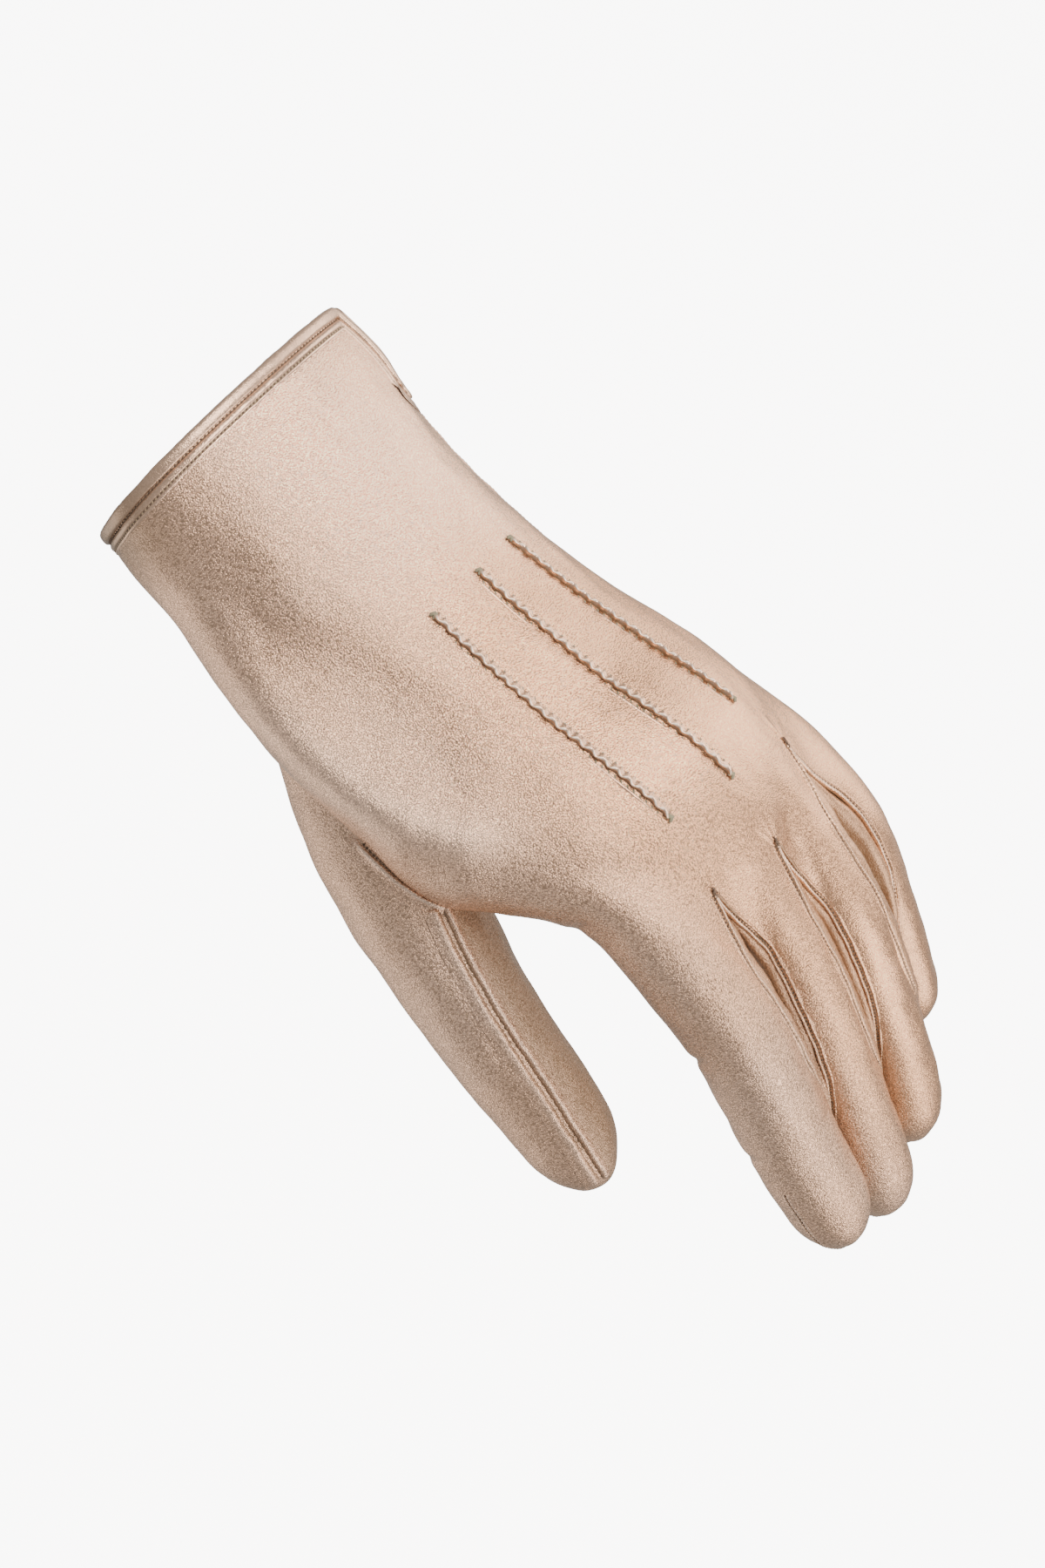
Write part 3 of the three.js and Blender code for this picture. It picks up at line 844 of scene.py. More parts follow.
def swept(points: Array, ups: Array, profile: Array, closed: bool = False) -> Array:
    """Profile carried along a line.

    Args:
        points: The line.
        ups: Upward direction at each of its points.
        profile: Places aside and up, either one list for all points or one for each.
        closed: Whether the line ends where it starts.

    Returns:
        A grid with a row for each point; a closed line's first row is repeated.
    """
    _, aside, up = line_frames(points, ups, closed)
    shape = np.broadcast_to(profile, (len(points),) + np.shape(profile)[-2:])
    grid = points[:, None] + aside[:, None] * shape[..., 0:1] + up[:, None] * shape[..., 1:2]
    return np.concatenate([grid, grid[:1]]) if closed else grid


def spaced(points: Array, step: float, *others: Array) -> tuple[Array, ...]:
    """Places a line's points at equal steps, with other values carried along.

    Args:
        points: The line.
        step: Wanted distance between points.
        others: Arrays with a row for each point of the line.

    Returns:
        The distances, the new points and the other arrays at them.
    """
    run = np.concatenate([[0.0], np.cumsum(np.linalg.norm(np.diff(points, axis=0), axis=1))])
    count = max(2, int(round(run[-1] / step)) + 1)
    at = np.linspace(0.0, run[-1], count)

    def read(values: Array) -> Array:
        """Values at the new places, whether one or several a point."""
        values = np.asarray(values, float)
        if values.ndim == 1:
            return np.interp(at, run, values)
        return np.stack([np.interp(at, run, values[:, k]) for k in range(values.shape[1])], -1)

    return (at, read(points), *(read(values) for values in others))


# Finishes


class Graph:
    """Short hand for adding and joining shader nodes."""

    def __init__(self, name: str) -> None:
        """Starts an empty material."""
        self.material = bpy.data.materials.new(name)
        self.material.use_nodes = True
        self.tree = self.material.node_tree
        self.tree.nodes.clear()

    def add(self, kind: str, settings: dict | None = None, **inputs: object) -> bpy.types.Node:
        """Adds a node.

        Args:
            kind: The node's type.
            settings: Values of its own properties.
            inputs: Values or sockets for its inputs: i and the input's number, or its
                name with spaces written as underscores.

        Returns:
            The node.
        """
        node = self.tree.nodes.new(kind)
        for key, value in (settings or {}).items():
            setattr(node, key, value)
        for key, value in inputs.items():
            numbered = key[1:].isdigit()
            socket = node.inputs[int(key[1:]) if numbered else key.replace("_", " ")]
            if isinstance(value, bpy.types.NodeSocket):
                self.tree.links.new(value, socket)
            else:
                socket.default_value = value
        return node

    def place(self) -> bpy.types.NodeSocket:
        """Places in the piece's own frame, in metres."""
        return self.add("ShaderNodeTexCoord").outputs["Object"]

    def math(self, operation: str, a: object, b: object = 0.0) -> bpy.types.NodeSocket:
        """A sum, product or other operation on two values or sockets."""
        return self.add("ShaderNodeMath", {"operation": operation}, i0=a, i1=b).outputs[0]

    def vector(self, operation: str, **inputs: object) -> bpy.types.Node:
        """An operation on vectors."""
        return self.add("ShaderNodeVectorMath", {"operation": operation}, **inputs)

    def scale_range(self, value: object, span: Span, to: Span) -> bpy.types.NodeSocket:
        """Maps a value from one range to another, held at its ends."""
        inputs = {f"i{k}": v for k, v in enumerate((value, *span, *to))}
        return self.add("ShaderNodeMapRange", **inputs).outputs[0]

    def noise(self, place: object, scale: float, detail: float, **more: object) -> bpy.types.Node:
        """Noise of a number of waves in a metre."""
        return self.add("ShaderNodeTexNoise", Vector=place, Scale=scale, Detail=detail, **more)

    def bump(self, height: object, strength: float, depth: float) -> bpy.types.NodeSocket:
        """The surface's direction bent by a height whose depth is in millimetres."""
        node = self.add("ShaderNodeBump", Strength=strength, Distance=depth * METRES, Height=height)
        return node.outputs[0]

    def blend(self, factor: object, a: object, b: object) -> bpy.types.NodeSocket:
        """Blends two colours."""
        return self.add("ShaderNodeMix", {"data_type": "RGBA"}, i0=factor, i6=a, i7=b).outputs[2]

    def finish(self, **inputs: object) -> bpy.types.Material:
        """Joins a shader with these inputs to the output, and gives the material."""
        shader = self.add("ShaderNodeBsdfPrincipled", **inputs)
        self.add("ShaderNodeOutputMaterial", i0=shader.outputs[0])
        return self.material


Colour = tuple[float, float, float, float]


@dataclass(frozen=True)
class FoilNappa:
    """Nappa leather under a thin metallic foil: pebble grain, fine creases, soft gloss."""

    name: str = "foil_nappa"
    foil: Colour = (0.88, 0.64, 0.505, 1.0)
    warm_foil: Colour = (0.85, 0.53, 0.345, 1.0)
    # Colour of the grain's crevices, and of the painted shade where the painted light is below 0
    crevice_and_painted_shade: Colour = (0.15, 0.115, 0.075, 1.0)
    # Colour of the painted highlights, where the painted light is above 0
    painted_highlight: Colour = (1.0, 0.90, 0.82, 1.0)
    metallic: float = 0.88
    dull_metal: float = 0.3  # metallic left where the painted light is strongest
    roughness: float = 0.21
    roughness_spread: Span = (-0.05, 0.09)
    grain: float = 0.39
    small_grain: float = 0.6
    grain_shares: Span = (0.62, 0.38)
    grain_depth: float = 0.152
    pebble_height: float = 0.75
    fine_height: float = 0.30
    crease_height: float = 0.8
    crevice_share: float = 0.55
    across: Triple = (0.0, 0.883, 0.469)  # square to the slant
    # Where the grain grows shallower and its crevices lighter, towards the little-finger side
    fainter_grain: Span = (-0.012, 0.018)  # metres along that
    fainter_grain_share: float = 0.55
    warm_across: Span = (-0.018, 0.006)
    warm_ahead: Span = (0.045, 0.080)
    warm_share: float = 0.95
    warm_patches: float = 0.3

    def pebble(self, g: Graph, place: bpy.types.NodeSocket) -> bpy.types.NodeSocket:
        """Grain of two sizes: 1 less the squared distance from the nearest grain's middle.

        Args:
            g: The material's nodes.
            place: Places on the leather, a little bent.

        Returns:
            Heights of 0 to 1.
        """
        heights = []
        for size, share in zip((self.grain, self.grain * self.small_grain), self.grain_shares):
            cells = g.add("ShaderNodeTexVoronoi", {"feature": "F1"}, Vector=place, Scale=1000.0 / size)
            away = cells.outputs["Distance"]
            height = g.scale_range(g.math("MULTIPLY", away, away), (0.0, 0.5), (1.0, 0.0))
            heights.append(g.math("MULTIPLY", height, share))
        return g.math("ADD", *heights)

    def build(self) -> bpy.types.Material:
        """Grain, fine noise and creases, over slow colour changes and the piece's painted light.

        Returns:
            The material.
        """
        g = Graph(self.name)
        place = g.place()
        bend = g.vector("SCALE", i0=g.noise(place, 900.0, 3.0).outputs["Color"], Scale=0.0006)
        moved = g.vector("ADD", i0=place, i1=bend.outputs[0]).outputs[0]
        pebble = self.pebble(g, moved)
        fine = g.noise(place, 3200.0, 2.0).outputs["Fac"]
        creases = g.noise(moved, 520.0, 3.0, Roughness=0.6).outputs["Fac"]
        height = g.math("MULTIPLY", pebble, self.pebble_height)
        height = g.math("ADD", height, g.math("MULTIPLY", fine, self.fine_height))
        height = g.math("ADD", height, g.math("MULTIPLY", creases, self.crease_height))
        across = g.vector("DOT_PRODUCT", i0=place, i1=self.across).outputs["Value"]
        ahead = g.add("ShaderNodeSeparateXYZ", Vector=place).outputs["X"]
        fainter_grain = g.scale_range(across, self.fainter_grain, (1.0, self.fainter_grain_share))
        warm = g.math(
            "MULTIPLY",
            g.scale_range(across, self.warm_across, (0.0, self.warm_share)),
            g.scale_range(ahead, self.warm_ahead, (0.0, 1.0)),
        )
        slow = g.noise(place, 26.0, 3.0).outputs["Fac"]
        warm = g.math("ADD", warm, g.scale_range(slow, (0.35, 0.65), (0.0, self.warm_patches)))
        # The grain darker in its crevices: partly the grain's own colour, partly painted shade
        crevice_darkening = g.scale_range(pebble, (0.22, 0.62), (self.crevice_share, 0.0))
        foil = g.blend(warm, self.foil, self.warm_foil)
        colour = g.blend(g.math("MULTIPLY", crevice_darkening, fainter_grain), foil, self.crevice_and_painted_shade)
        # Painted light from the piece's attribute: towards the highlight colour above 0, towards the
        # shade colour below 0, and less metallic the stronger it is
        tone = g.add("ShaderNodeAttribute", {"attribute_name": "tone"}).outputs["Fac"]
        colour = g.blend(g.scale_range(tone, (0.0, 1.0), (0.0, 1.0)), colour, self.painted_highlight)
        colour = g.blend(g.scale_range(tone, (-1.0, 0.0), (0.92, 0.0)), colour, self.crevice_and_painted_shade)
        strong = g.math("ABSOLUTE", tone)
        glossy, dull_and_shaded = (self.roughness + spread for spread in self.roughness_spread)
        return g.finish(
            Base_Color=colour,
            Metallic=g.scale_range(strong, (0.0, 1.0), (self.metallic, self.dull_metal)),
            Roughness=g.scale_range(creases, (0.3, 0.7), (glossy, dull_and_shaded)),
            Normal=g.bump(g.math("MULTIPLY", height, fainter_grain), 1.0, self.grain_depth),
        )


@dataclass(frozen=True)
class FleshSide:
    """The napped inner side of the leather."""

    name: str = "flesh_side"
    colour: Colour = (0.50, 0.40, 0.31, 1.0)
    shade: Colour = (0.40, 0.31, 0.24, 1.0)
    nap_depth: float = 0.12
    sheen: float = 0.25

    def build(self) -> bpy.types.Material:
        """Fine nap over slow colour changes, with a soft sheen."""
        g = Graph(self.name)
        place = g.place()
        nap = g.noise(place, 1800.0, 4.0).outputs["Fac"]
        slow = g.noise(place, 60.0, 3.0).outputs["Fac"]
        return g.finish(
            Base_Color=g.blend(slow, self.colour, self.shade),
            Roughness=g.scale_range(nap, (0.3, 0.7), (0.82, 0.96)),
            Normal=g.bump(nap, 0.8, self.nap_depth),
            Sheen_Weight=self.sheen,
        )


@dataclass(frozen=True)
class Thread:
    """Twisted sewing thread."""

    name: str
    colour: Colour
    shade: Colour
    twist_depth: float = 0.05

    def build(self) -> bpy.types.Material:
        """Slanted twist lines across the thread."""
        g = Graph(self.name)
        lines = {"bands_direction": "DIAGONAL"}
        wave = g.add("ShaderNodeTexWave", lines, Vector=g.place(), Scale=2200.0, Distortion=1.5)
        twist = wave.outputs["Fac"]
        return g.finish(
            Base_Color=g.blend(twist, self.shade, self.colour),
            Roughness=g.scale_range(twist, (0.0, 1.0), (0.7, 0.5)),
            Normal=g.bump(twist, 0.6, self.twist_depth),
        )


# Dark thread: partly the thread's colour, partly painted shade of the stitch holes
SEAM_THREAD_AND_HOLE_SHADE = Thread("seam_thread_and_hole_shade", (0.16, 0.115, 0.085, 1), (0.07, 0.05, 0.04, 1))
HEM_THREAD = Thread("hem_thread", (0.50, 0.42, 0.31, 1), (0.28, 0.22, 0.15, 1))
POINT_THREAD = Thread("point_thread", (0.36, 0.37, 0.27, 1), (0.17, 0.17, 0.12, 1))
SMOOTH_NAPPA = FoilNappa(
    name="foil_nappa_smooth",
    foil=(0.82, 0.62, 0.50, 1.0),
    warm_foil=(0.78, 0.54, 0.40, 1.0),
    grain_depth=0.06,
    crevice_share=0.2,
)


@dataclass
class Finishes:
    """Every finish on the glove, made once."""

    leather: bpy.types.Material = field(default_factory=FoilNappa().build)
    edge: bpy.types.Material = field(default_factory=SMOOTH_NAPPA.build)
    flesh: bpy.types.Material = field(default_factory=FleshSide().build)
    seam_thread_and_hole_shade: bpy.types.Material = field(default_factory=SEAM_THREAD_AND_HOLE_SHADE.build)
    hem_thread: bpy.types.Material = field(default_factory=HEM_THREAD.build)
    point_thread: bpy.types.Material = field(default_factory=POINT_THREAD.build)


# Stitches


class StitchKind(Enum):
    """Length, width, height and pitch of a stitch."""

    SEAM = (0.58, 0.42, 0.34, 0.95)
    HEM = (0.74, 0.52, 0.40, 1.1)
    POINT = (0.95, 0.5, 0.4, 1.65)
    KNOT = (1.5, 0.5, 0.45, 0.0)
    POINT_KNOT = (2.0, 0.78, 0.7, 0.0)

    @property
    def pitch(self) -> float:
        """Distance from one stitch to the next, 0 in a knot."""
        return self.value[3]


def stitch_bars(centres: Array, ahead: Array, up: Array, kind: StitchKind, sides: int = 6) -> Array:
    """Small rounded bars of thread, one at each place.

    The radius of a ring is the root of 1 less its place along the bar squared.

    Args:
        centres: Middles of the bars.
        ahead: Directions along the bars.
        up: Directions away from the leather.
        kind: The stitch, for its sizes.
        sides: Corners of a ring.

    Returns:
        A stack of grids, one for each bar.
    """
    place = np.sin(np.linspace(-math.pi / 2, math.pi / 2, 5))
    radius = np.sqrt(1.0 - place**2)[:, None]
    turn = np.linspace(0.0, -2.0 * math.pi, sides + 1)
    turn[-1] = 0.0
    length, width, height, _ = kind.value
    along = place[:, None] * length / 2
    wide, high = radius * np.cos(turn) * width / 2, radius * np.sin(turn) * height / 2
    ahead, up = ahead[:, None, None], up[:, None, None]
    aside = np.cross(up, ahead)
    return (
        centres[:, None, None]
        + ahead * along[None, :, :, None]
        + aside * wide[None, ..., None]
        + up * high[None, ..., None]
    )


def leaning(ahead: Array, aside: Array, degrees: float | Array) -> Array:
    """Directions turned from ahead towards aside."""
    turn = np.radians(degrees)
    return ahead * np.cos(turn) + aside * np.sin(turn)


def stitched_line(
    line: Array, ups: Array, kind: StitchKind, lift: float = 0.0, slant: float = 0.0, late: int = 2
) -> Array:
    """Stitches at their pitch along a line.

    Args:
        line: Points of the seam.
        ups: Directions away from the leather at those points.
        kind: The stitch, for its sizes and pitch.
        lift: How far each stitch stands off the line.
        slant: Degrees by which each turns from the line.
        late: Quarters of the pitch before the first stitch.

    Returns:
        A stack of grids, one for each bar.
    """
    _, points, up = spaced(line, kind.pitch / 4.0, ups)
    points, up = points[late::4], up[late::4]
    ahead, aside, up = line_frames(points, up)
    return stitch_bars(points + up * lift, leaning(ahead, aside, slant), up, kind)


# Leather laid over the form


@dataclass(frozen=True)
class Cuff:
    """The cuff's edge: the wrist opening and the slit at its little-finger side."""

    hand: HandForm = HandForm()
    notch_middle: float = 0.5
    round_off: float = 2.2
    hem_points: int = 400
    leg_points: int = 14

    def side(self, x: Array) -> Array:
        """Angle of the slit's middle."""
        return self.hand.dividers.at("side", x)

    def distance(self, points: Array) -> Array:
        """Distance of places on the leather from the cuff's edge.

        Args:
            points: Places on the leather.

        Returns:
            The lesser of the distances from the hem and from the slit.
        """
        x = points[..., 0]
        middle = self.hand.point(self.side(x), x)
        aside = np.linalg.norm((points - middle)[..., 1:], axis=-1)
        past = np.maximum(x - self.hand.vent.notch + self.notch_middle, 0.0)
        return np.minimum(x, np.hypot(past, aside) - self.hand.vent.opening(x))

    def path(self, distance: float, step: float = 0.6) -> tuple[Array, Array]:
        """Closed line at a distance from the cuff's edge: round the hem and along the slit.

        The corners are rounded by averaging along the line.

        Args:
            distance: Distance from the edge.
            step: Distance between its points.

        Returns:
            Points and upward directions.
        """
        vent = self.hand.vent
        end = vent.notch - self.notch_middle
        turn = np.linspace(0.0, math.pi, 13)[1:-1]
        leg = np.linspace(distance, end, self.leg_points)
        width = vent.opening(leg) + distance
        back = np.stack([self.hand.degrees_for(width, self.side(leg), leg), leg], -1)
        radius = vent.opening(end) + distance
        notch_x = end + radius * np.sin(turn)
        notch = np.stack(
            [self.hand.degrees_for(radius * np.cos(turn), self.side(notch_x), notch_x), notch_x], -1
        )
        under = back * (-1.0, 1.0)
        side, gap = self.side(distance), back[0, 0]
        hem = np.linspace(side + gap, side + 360 - gap, self.hem_points)
        hem = np.stack([hem, np.full(self.hem_points, distance)], -1)
        legs = np.concatenate([under, notch[::-1] * (-1.0, 1.0), back[::-1][1:]])
        legs[:, 0] += self.side(legs[:, 1]) + 360.0
        flat = np.concatenate([hem, legs[1:-1]])
        line = self.hand.point(flat[:, 0], flat[:, 1])
        line = np.concatenate([line, line[:1]])
        round_to = np.append(flat[:, 0], flat[0, 0] + 360.0)
        _, line, angle, x = spaced(line, step, round_to, np.append(flat[:, 1], distance))
        angle, x = angle[:-1], x[:-1]
        reach = max(1, int(round(self.round_off / step)))
        kernel = np.hanning(reach * 2 + 3)[1:-1]
        kernel = kernel / kernel.sum()

        def averaged(values: Array, turn_up: float) -> Array:
            """Running mean of values that grow by turn_up once round the line."""
            held = np.concatenate([values[-reach:] - turn_up, values, values[:reach] + turn_up])
            return np.convolve(held, kernel, "valid")

        angle, x = averaged(angle, 360.0), averaged(x, 0.0)
        return self.hand.point(angle, x), self.hand.normal(angle, x)


VIEW_TILT = 28.0  # degrees from straight above, to the thumb side
SLANT = np.array([0.0, -math.sin(math.radians(VIEW_TILT)), math.cos(math.radians(VIEW_TILT))])
ASIDE = np.cross(SLANT, (1.0, 0.0, 0.0))

SWELLS = Table(
    ("swell", "x", "e", "width", "height"),
    (
        (1, 4, -22, 7, 0),
        (1, 20, -25, 8, -1.4),
        (1, 42, -24, 8, -1.8),
        (1, 64, -18, 8, -1.7),
        (1, 78, -13, 8, -0.8),
        (1, 90, -9, 8, 0),
        (2, 4, -41, 7, 0),
        (2, 20, -41, 8, 2.6),
        (2, 40, -42, 9, 5.2),
        (2, 60, -42, 10, 8.6),
        (2, 76, -40, 10, 9.6),
        (2, 88, -35, 10, 7.6),
        (2, 98, -29, 9, 4.6),
        (2, 108, -27, 8, 0),
    ),
)


@dataclass(frozen=True)
class Relief:
    """Unevenness of the worn leather, shared by every piece that lies on it."""

    hand: HandForm = HandForm()
    cuff: Cuff = Cuff()
    cut: Cut = Cut()
    long_waves: float = 0.30
    short_waves: float = 0.13
    ripples: float = 0.05
    pucker: float = 0.16
    pucker_sizes: Triple = (1.3, 1.0, 1.1)
    crease_depths: Triple = (0.5, 0.8, 0.55)
    band_dip: float = 0.12
    edge_dip: float = 0.5

    def height(self, points: Array) -> Array:
        """Height of the leather over the form: waves of three lengths, folds and creases.

        Args:
            points: Places on the form.

        Returns:
            Millimetres, one value for each place.
        """
        flat = points.reshape(-1, 3)
        drawn = flat * (0.6, 1.0, 1.0)
        quiet = 0.35 + 0.65 * ramp(6.0, 30.0, flat[:, 0])
        total = self.long_waves * waves(drawn, 34.0, 3) * quiet
        total += self.short_waves * waves(drawn, 11.0, 5) * quiet
        total += self.ripples * waves(drawn, 4.6, 7)
        total += self.crotch_puckers(flat) + self.hem(flat) + self.palm_creases(flat)
        return total.reshape(points.shape[:-1])

    def swells(self, flat: Array) -> Array:
        """Broad swells and hollows of the back, each a bell round a bent line.

        The line lies in the plan square to the slant: x ahead and e aside. The palm
        side has none.

        Args:
            flat: Places on the form, one a row.

        Returns:
            Millimetres along the slant, one value for each place.
        """
        seen = np.stack([flat[:, 0], flat @ ASIDE], -1)
        rise = flat[:, 2] - self.hand.sections.at("z", flat[:, 0])
        nearest: dict[float, Array] = {}
        for start, end in zip(SWELLS.rows[:-1], SWELLS.rows[1:]):
            if start[0] != end[0]:
                continue
            along = np.subtract(end[1:3], start[1:3])
            part = np.clip((seen - start[1:3]) @ along / (along @ along), 0, 1)
            away = np.linalg.norm(seen - start[1:3] - part[:, None] * along, axis=1)
            shape = mix(start[4], end[4], part) * bell(away, mix(start[3], end[3], part))
            other = nearest.get(start[0], np.zeros(len(flat)))
            nearest[start[0]] = np.where(np.abs(shape) > np.abs(other), shape, other)
        return sum(nearest.values()) * ramp(-22.0, -4.0, rise)

    def hem(self, flat: Array) -> Array:
        """The leather's dip under the binding and the stitched band."""
        d = self.cuff.distance(flat)
        return -self.band_dip * (1 - ramp(4.6, 6.6, d)) - self.edge_dip * (1 - ramp(2.2, 3.4, d))

    def crotch_puckers(self, flat: Array) -> Array:
        """Short tension folds that fan out over the back from between the fingers.

        Each is a cosine of the direction round the crotch, within a ring about it.

        Args:
            flat: Places on the form, one a row.

        Returns:
            Millimetres, one value for each place.
        """
        total = np.zeros(len(flat))
        for (first, second, x), size in zip(self.cut.crotches(), self.pucker_sizes):
            centre = self.hand.point(self.hand.divider(f"{first.name}_{second.name}", x), x)
            away = flat - centre
            reach = np.linalg.norm(away, axis=1)
            turn = np.arctan2(away[:, 1], -away[:, 0])
            fan = np.cos(turn * 13.0 + 1.3 * np.sin(turn * 5.0 + size * 7.0))
            zone = ramp(0.8, 2.6, reach) * (1 - ramp(4.0, 10.0 * size, reach))
            zone = zone * (1 - ramp(1.2, 1.7, np.abs(turn)))
            above = flat[:, 2] > centre[2] - 6.0
            total += np.where(above, self.pucker * size * fan * zone, 0.0)
        return total

    def palm_creases(self, flat: Array) -> Array:
        """Creases across the palm side of each finger at its joints: bells round a bow.

        Args:
            flat: Places on the form, one a row.

        Returns:
            Millimetres, none above 0, one value for each place.
        """
        total = np.zeros(len(flat))
        for finger in FINGERS:
            for joint, depth in zip(finger.joints, self.crease_depths):
                centre, side, back = (v[0] for v in finger.axes(np.array([float(joint)])))
                away = flat - centre
                ahead = np.cross(side, back)
                along, up = away @ ahead, away @ back
                near = np.linalg.norm(away, axis=1) < 15.0
                bow = along + 0.02 * (away @ side) ** 2
                total -= np.where(near, depth * bell(bow, 1.5) * ramp(1.0, -5.0, up), 0.0)
        return total

    def lifted(self, points: Array, ups: Array, sink: float = 0.0) -> Array:
        """Points of the form moved to the leather.

        Args:
            points: Places on the form.
            ups: Outward directions at them.
            sink: Depth below the leather's outer face.

        Returns:
            Places moved outwards by the height less the sink, and by the swells along
            the slant, which keeps the outline seen along it.
        """
        swell = self.swells(points.reshape(-1, 3)).reshape(points.shape[:-1])
        return points + ups * (self.height(points) - sink)[..., None] + SLANT * swell[..., None]


def stops(marks: tuple[float, ...], step: float) -> Array:
    """Places at about a step apart that include every mark.

    Args:
        marks: Rising places.
        step: Wanted distance between places.

    Returns:
        The places, from the first mark to the last.
    """
    pieces = [np.array(marks[:1])]
    for low, high in zip(marks[:-1], marks[1:]):
        count = max(1, int(round((high - low) / step)))
        pieces.append(np.linspace(low, high, count + 1)[1:])
    return np.concatenate(pieces)


@dataclass
class Wrap:
    """Back and palm in one wrap of leather, with both faces of the four fingers."""

    finishes: Finishes
    relief: Relief = Relief()
    hand: HandForm = HandForm()
    cut: Cut = Cut()
    thumb: ThumbForm = ThumbForm()
    columns: tuple[int, ...] = (52, 34, 34, 38, 34, 24, 24, 34)  # of each strip
    row_step: float = 0.8
    cap_rows: int = 14
    edge_crowding: float = 0.7
    lining_depth: float = 0.9
    lining_coarseness: int = 3
    # The painted highlight's line over the thumb's root: places ahead, and aside at them
    border: tuple[tuple[float, ...], ...] = ((38, 60, 76, 88, 98, 108), (-36, -37, -36, -32, -27, -22))
    thumb_margin: float = 0.8
    border_width: float = 5.5
    border_tone: float = 0.19
    seam_tone: float = -0.6
    corner_tone: float = -0.7

    def stations(self, finger: Finger, coarse: int = 1) -> Array:
        """Places of the rows from the hem to a fingertip, closer towards the tip.

        Args:
            finger: The finger that the strip runs into.
            coarse: How many times fewer rows there are.

        Returns:
            Distances along the strip.
        """
        cap = finger.knuckle[0] + finger.length - finger.cap
        vent, cut = self.hand.vent, self.cut
        marks = (vent.tuck, vent.slit_end, cut.ring_little, cut.index_middle, cut.middle_ring, cut.palm)
        shared = stops(marks, self.row_step * coarse)
        tube = stops((cut.palm, cap), self.row_step * coarse)[1:]
        tip = over_cap(cap, finger.cap, max(6, self.cap_rows // coarse))
        return np.concatenate([shared, tube, tip])

    def surface(self, coarse: int = 1) -> Patchwork:
        """The wrap's skin: a grid for each strip.

        Args:
            coarse: How many times fewer rows and columns there are.

        Returns:
            The grids, ready to be joined.
        """
        work = Patchwork()
        for strip, count in zip(strips_of_wrap(self.cut), self.columns):
            even = np.linspace(0, 1, max(6, count // coarse) + 1)
            across = mix(even, (1 - np.cos(math.pi * even)) / 2, self.edge_crowding)
            work.add(strip.point(across[None, :], self.stations(strip.finger, coarse)[:, None]))
        return work

    def shade(self, points: Array, maps: list[Array]) -> Array:
        """Painted light: painted shade beside the fingers' seams and at the cuff's corner, a painted
        highlight over the thumb's root.

        Args:
            points: Places on the form.
            maps: For each strip, the index of each of its points.

        Returns:
            Painted light for each point.
        """
        tone = np.zeros(len(points))
        for strip, where in zip(strips_of_wrap(self.cut), maps):
            x = points[where][..., 0]
            across = np.linspace(0, 1, where.shape[1])[None, :]
            first = (across, x - strip.part_start, strip.start)
            last = (1 - across, x - strip.part_end, strip.end)
            for away, past, divider in (first, last):
                if divider not in ("fold", "side", "side_under"):
                    # Painted shade in a band beside each of the fingers' seams, wider past the knuckles
                    dull_and_shaded = bell(away, 0.11 + 0.08 * ramp(24.0, 50.0, past)) * ramp(0.0, 16.0, past)
                    tone[where] = np.minimum(tone[where], self.seam_tone * dull_and_shaded)
        x, aside = points[:, 0], points @ ASIDE
        # Painted shade at the cuff's corner on the thumb side
        corner = (1 - ramp(-36.0, -14.0, aside)) * (1 - ramp(6.0, 24.0, x))
        # A painted highlight along the line over the thumb's root, on the back of the hand
        zone = ramp(34.0, 56.0, x) * (1 - ramp(98.0, 112.0, x))
        zone = zone * ramp(-10.0, -2.0, points[:, 2] - self.hand.sections.at("z", x))
        painted_highlight = self.border_tone * bell(aside - np.interp(x, *self.border), self.border_width)
        return np.minimum(tone, self.corner_tone * corner) + painted_highlight * zone

    def open_at_thumb(self, points: Array, faces: Array) -> Array:
        """Faces outside the set-in thumb, or only just inside it."""
        return faces[self.thumb.depth_inside(points[faces].mean(1)) < self.thumb_margin]

    def build(self) -> list[bpy.types.Object]:
        """Makes the outer leather and its flesh side.

        Returns:
            The two pieces.
        """
        points, faces, maps = self.surface().joined()
        tone = self.shade(points, maps)
        points = self.relief.lifted(points, normals_of(points, faces))
        faces = self.open_at_thumb(points, faces)
        skin = make_piece("wrap", points, faces, self.finishes.leather, ("trank",), tone)
        points, faces, _ = self.surface(self.lining_coarseness).joined()
        points = self.relief.lifted(points, normals_of(points, faces), self.lining_depth)
        inward = self.open_at_thumb(points, faces)[:, ::-1]
        return [skin, make_piece("wrap_flesh_side", points, inward, self.finishes.flesh)]


def smooth_profile(rows: tuple[Triple, ...], count: int) -> tuple[Array, Array]:
    """A profile through a few places, read by a smooth curve at more.

    Args:
        rows: Places aside and up, and the painted light there.
        count: How many places are read.

    Returns:
        The places and their painted light.
    """
    table = Table(("k", "aside", "up", "tone"), tuple((k, *row) for k, row in enumerate(rows)))
    at = np.linspace(0, len(rows) - 1, count)
    return np.stack([table.at("aside", at), table.at("up", at)], -1), table.at("tone", at)


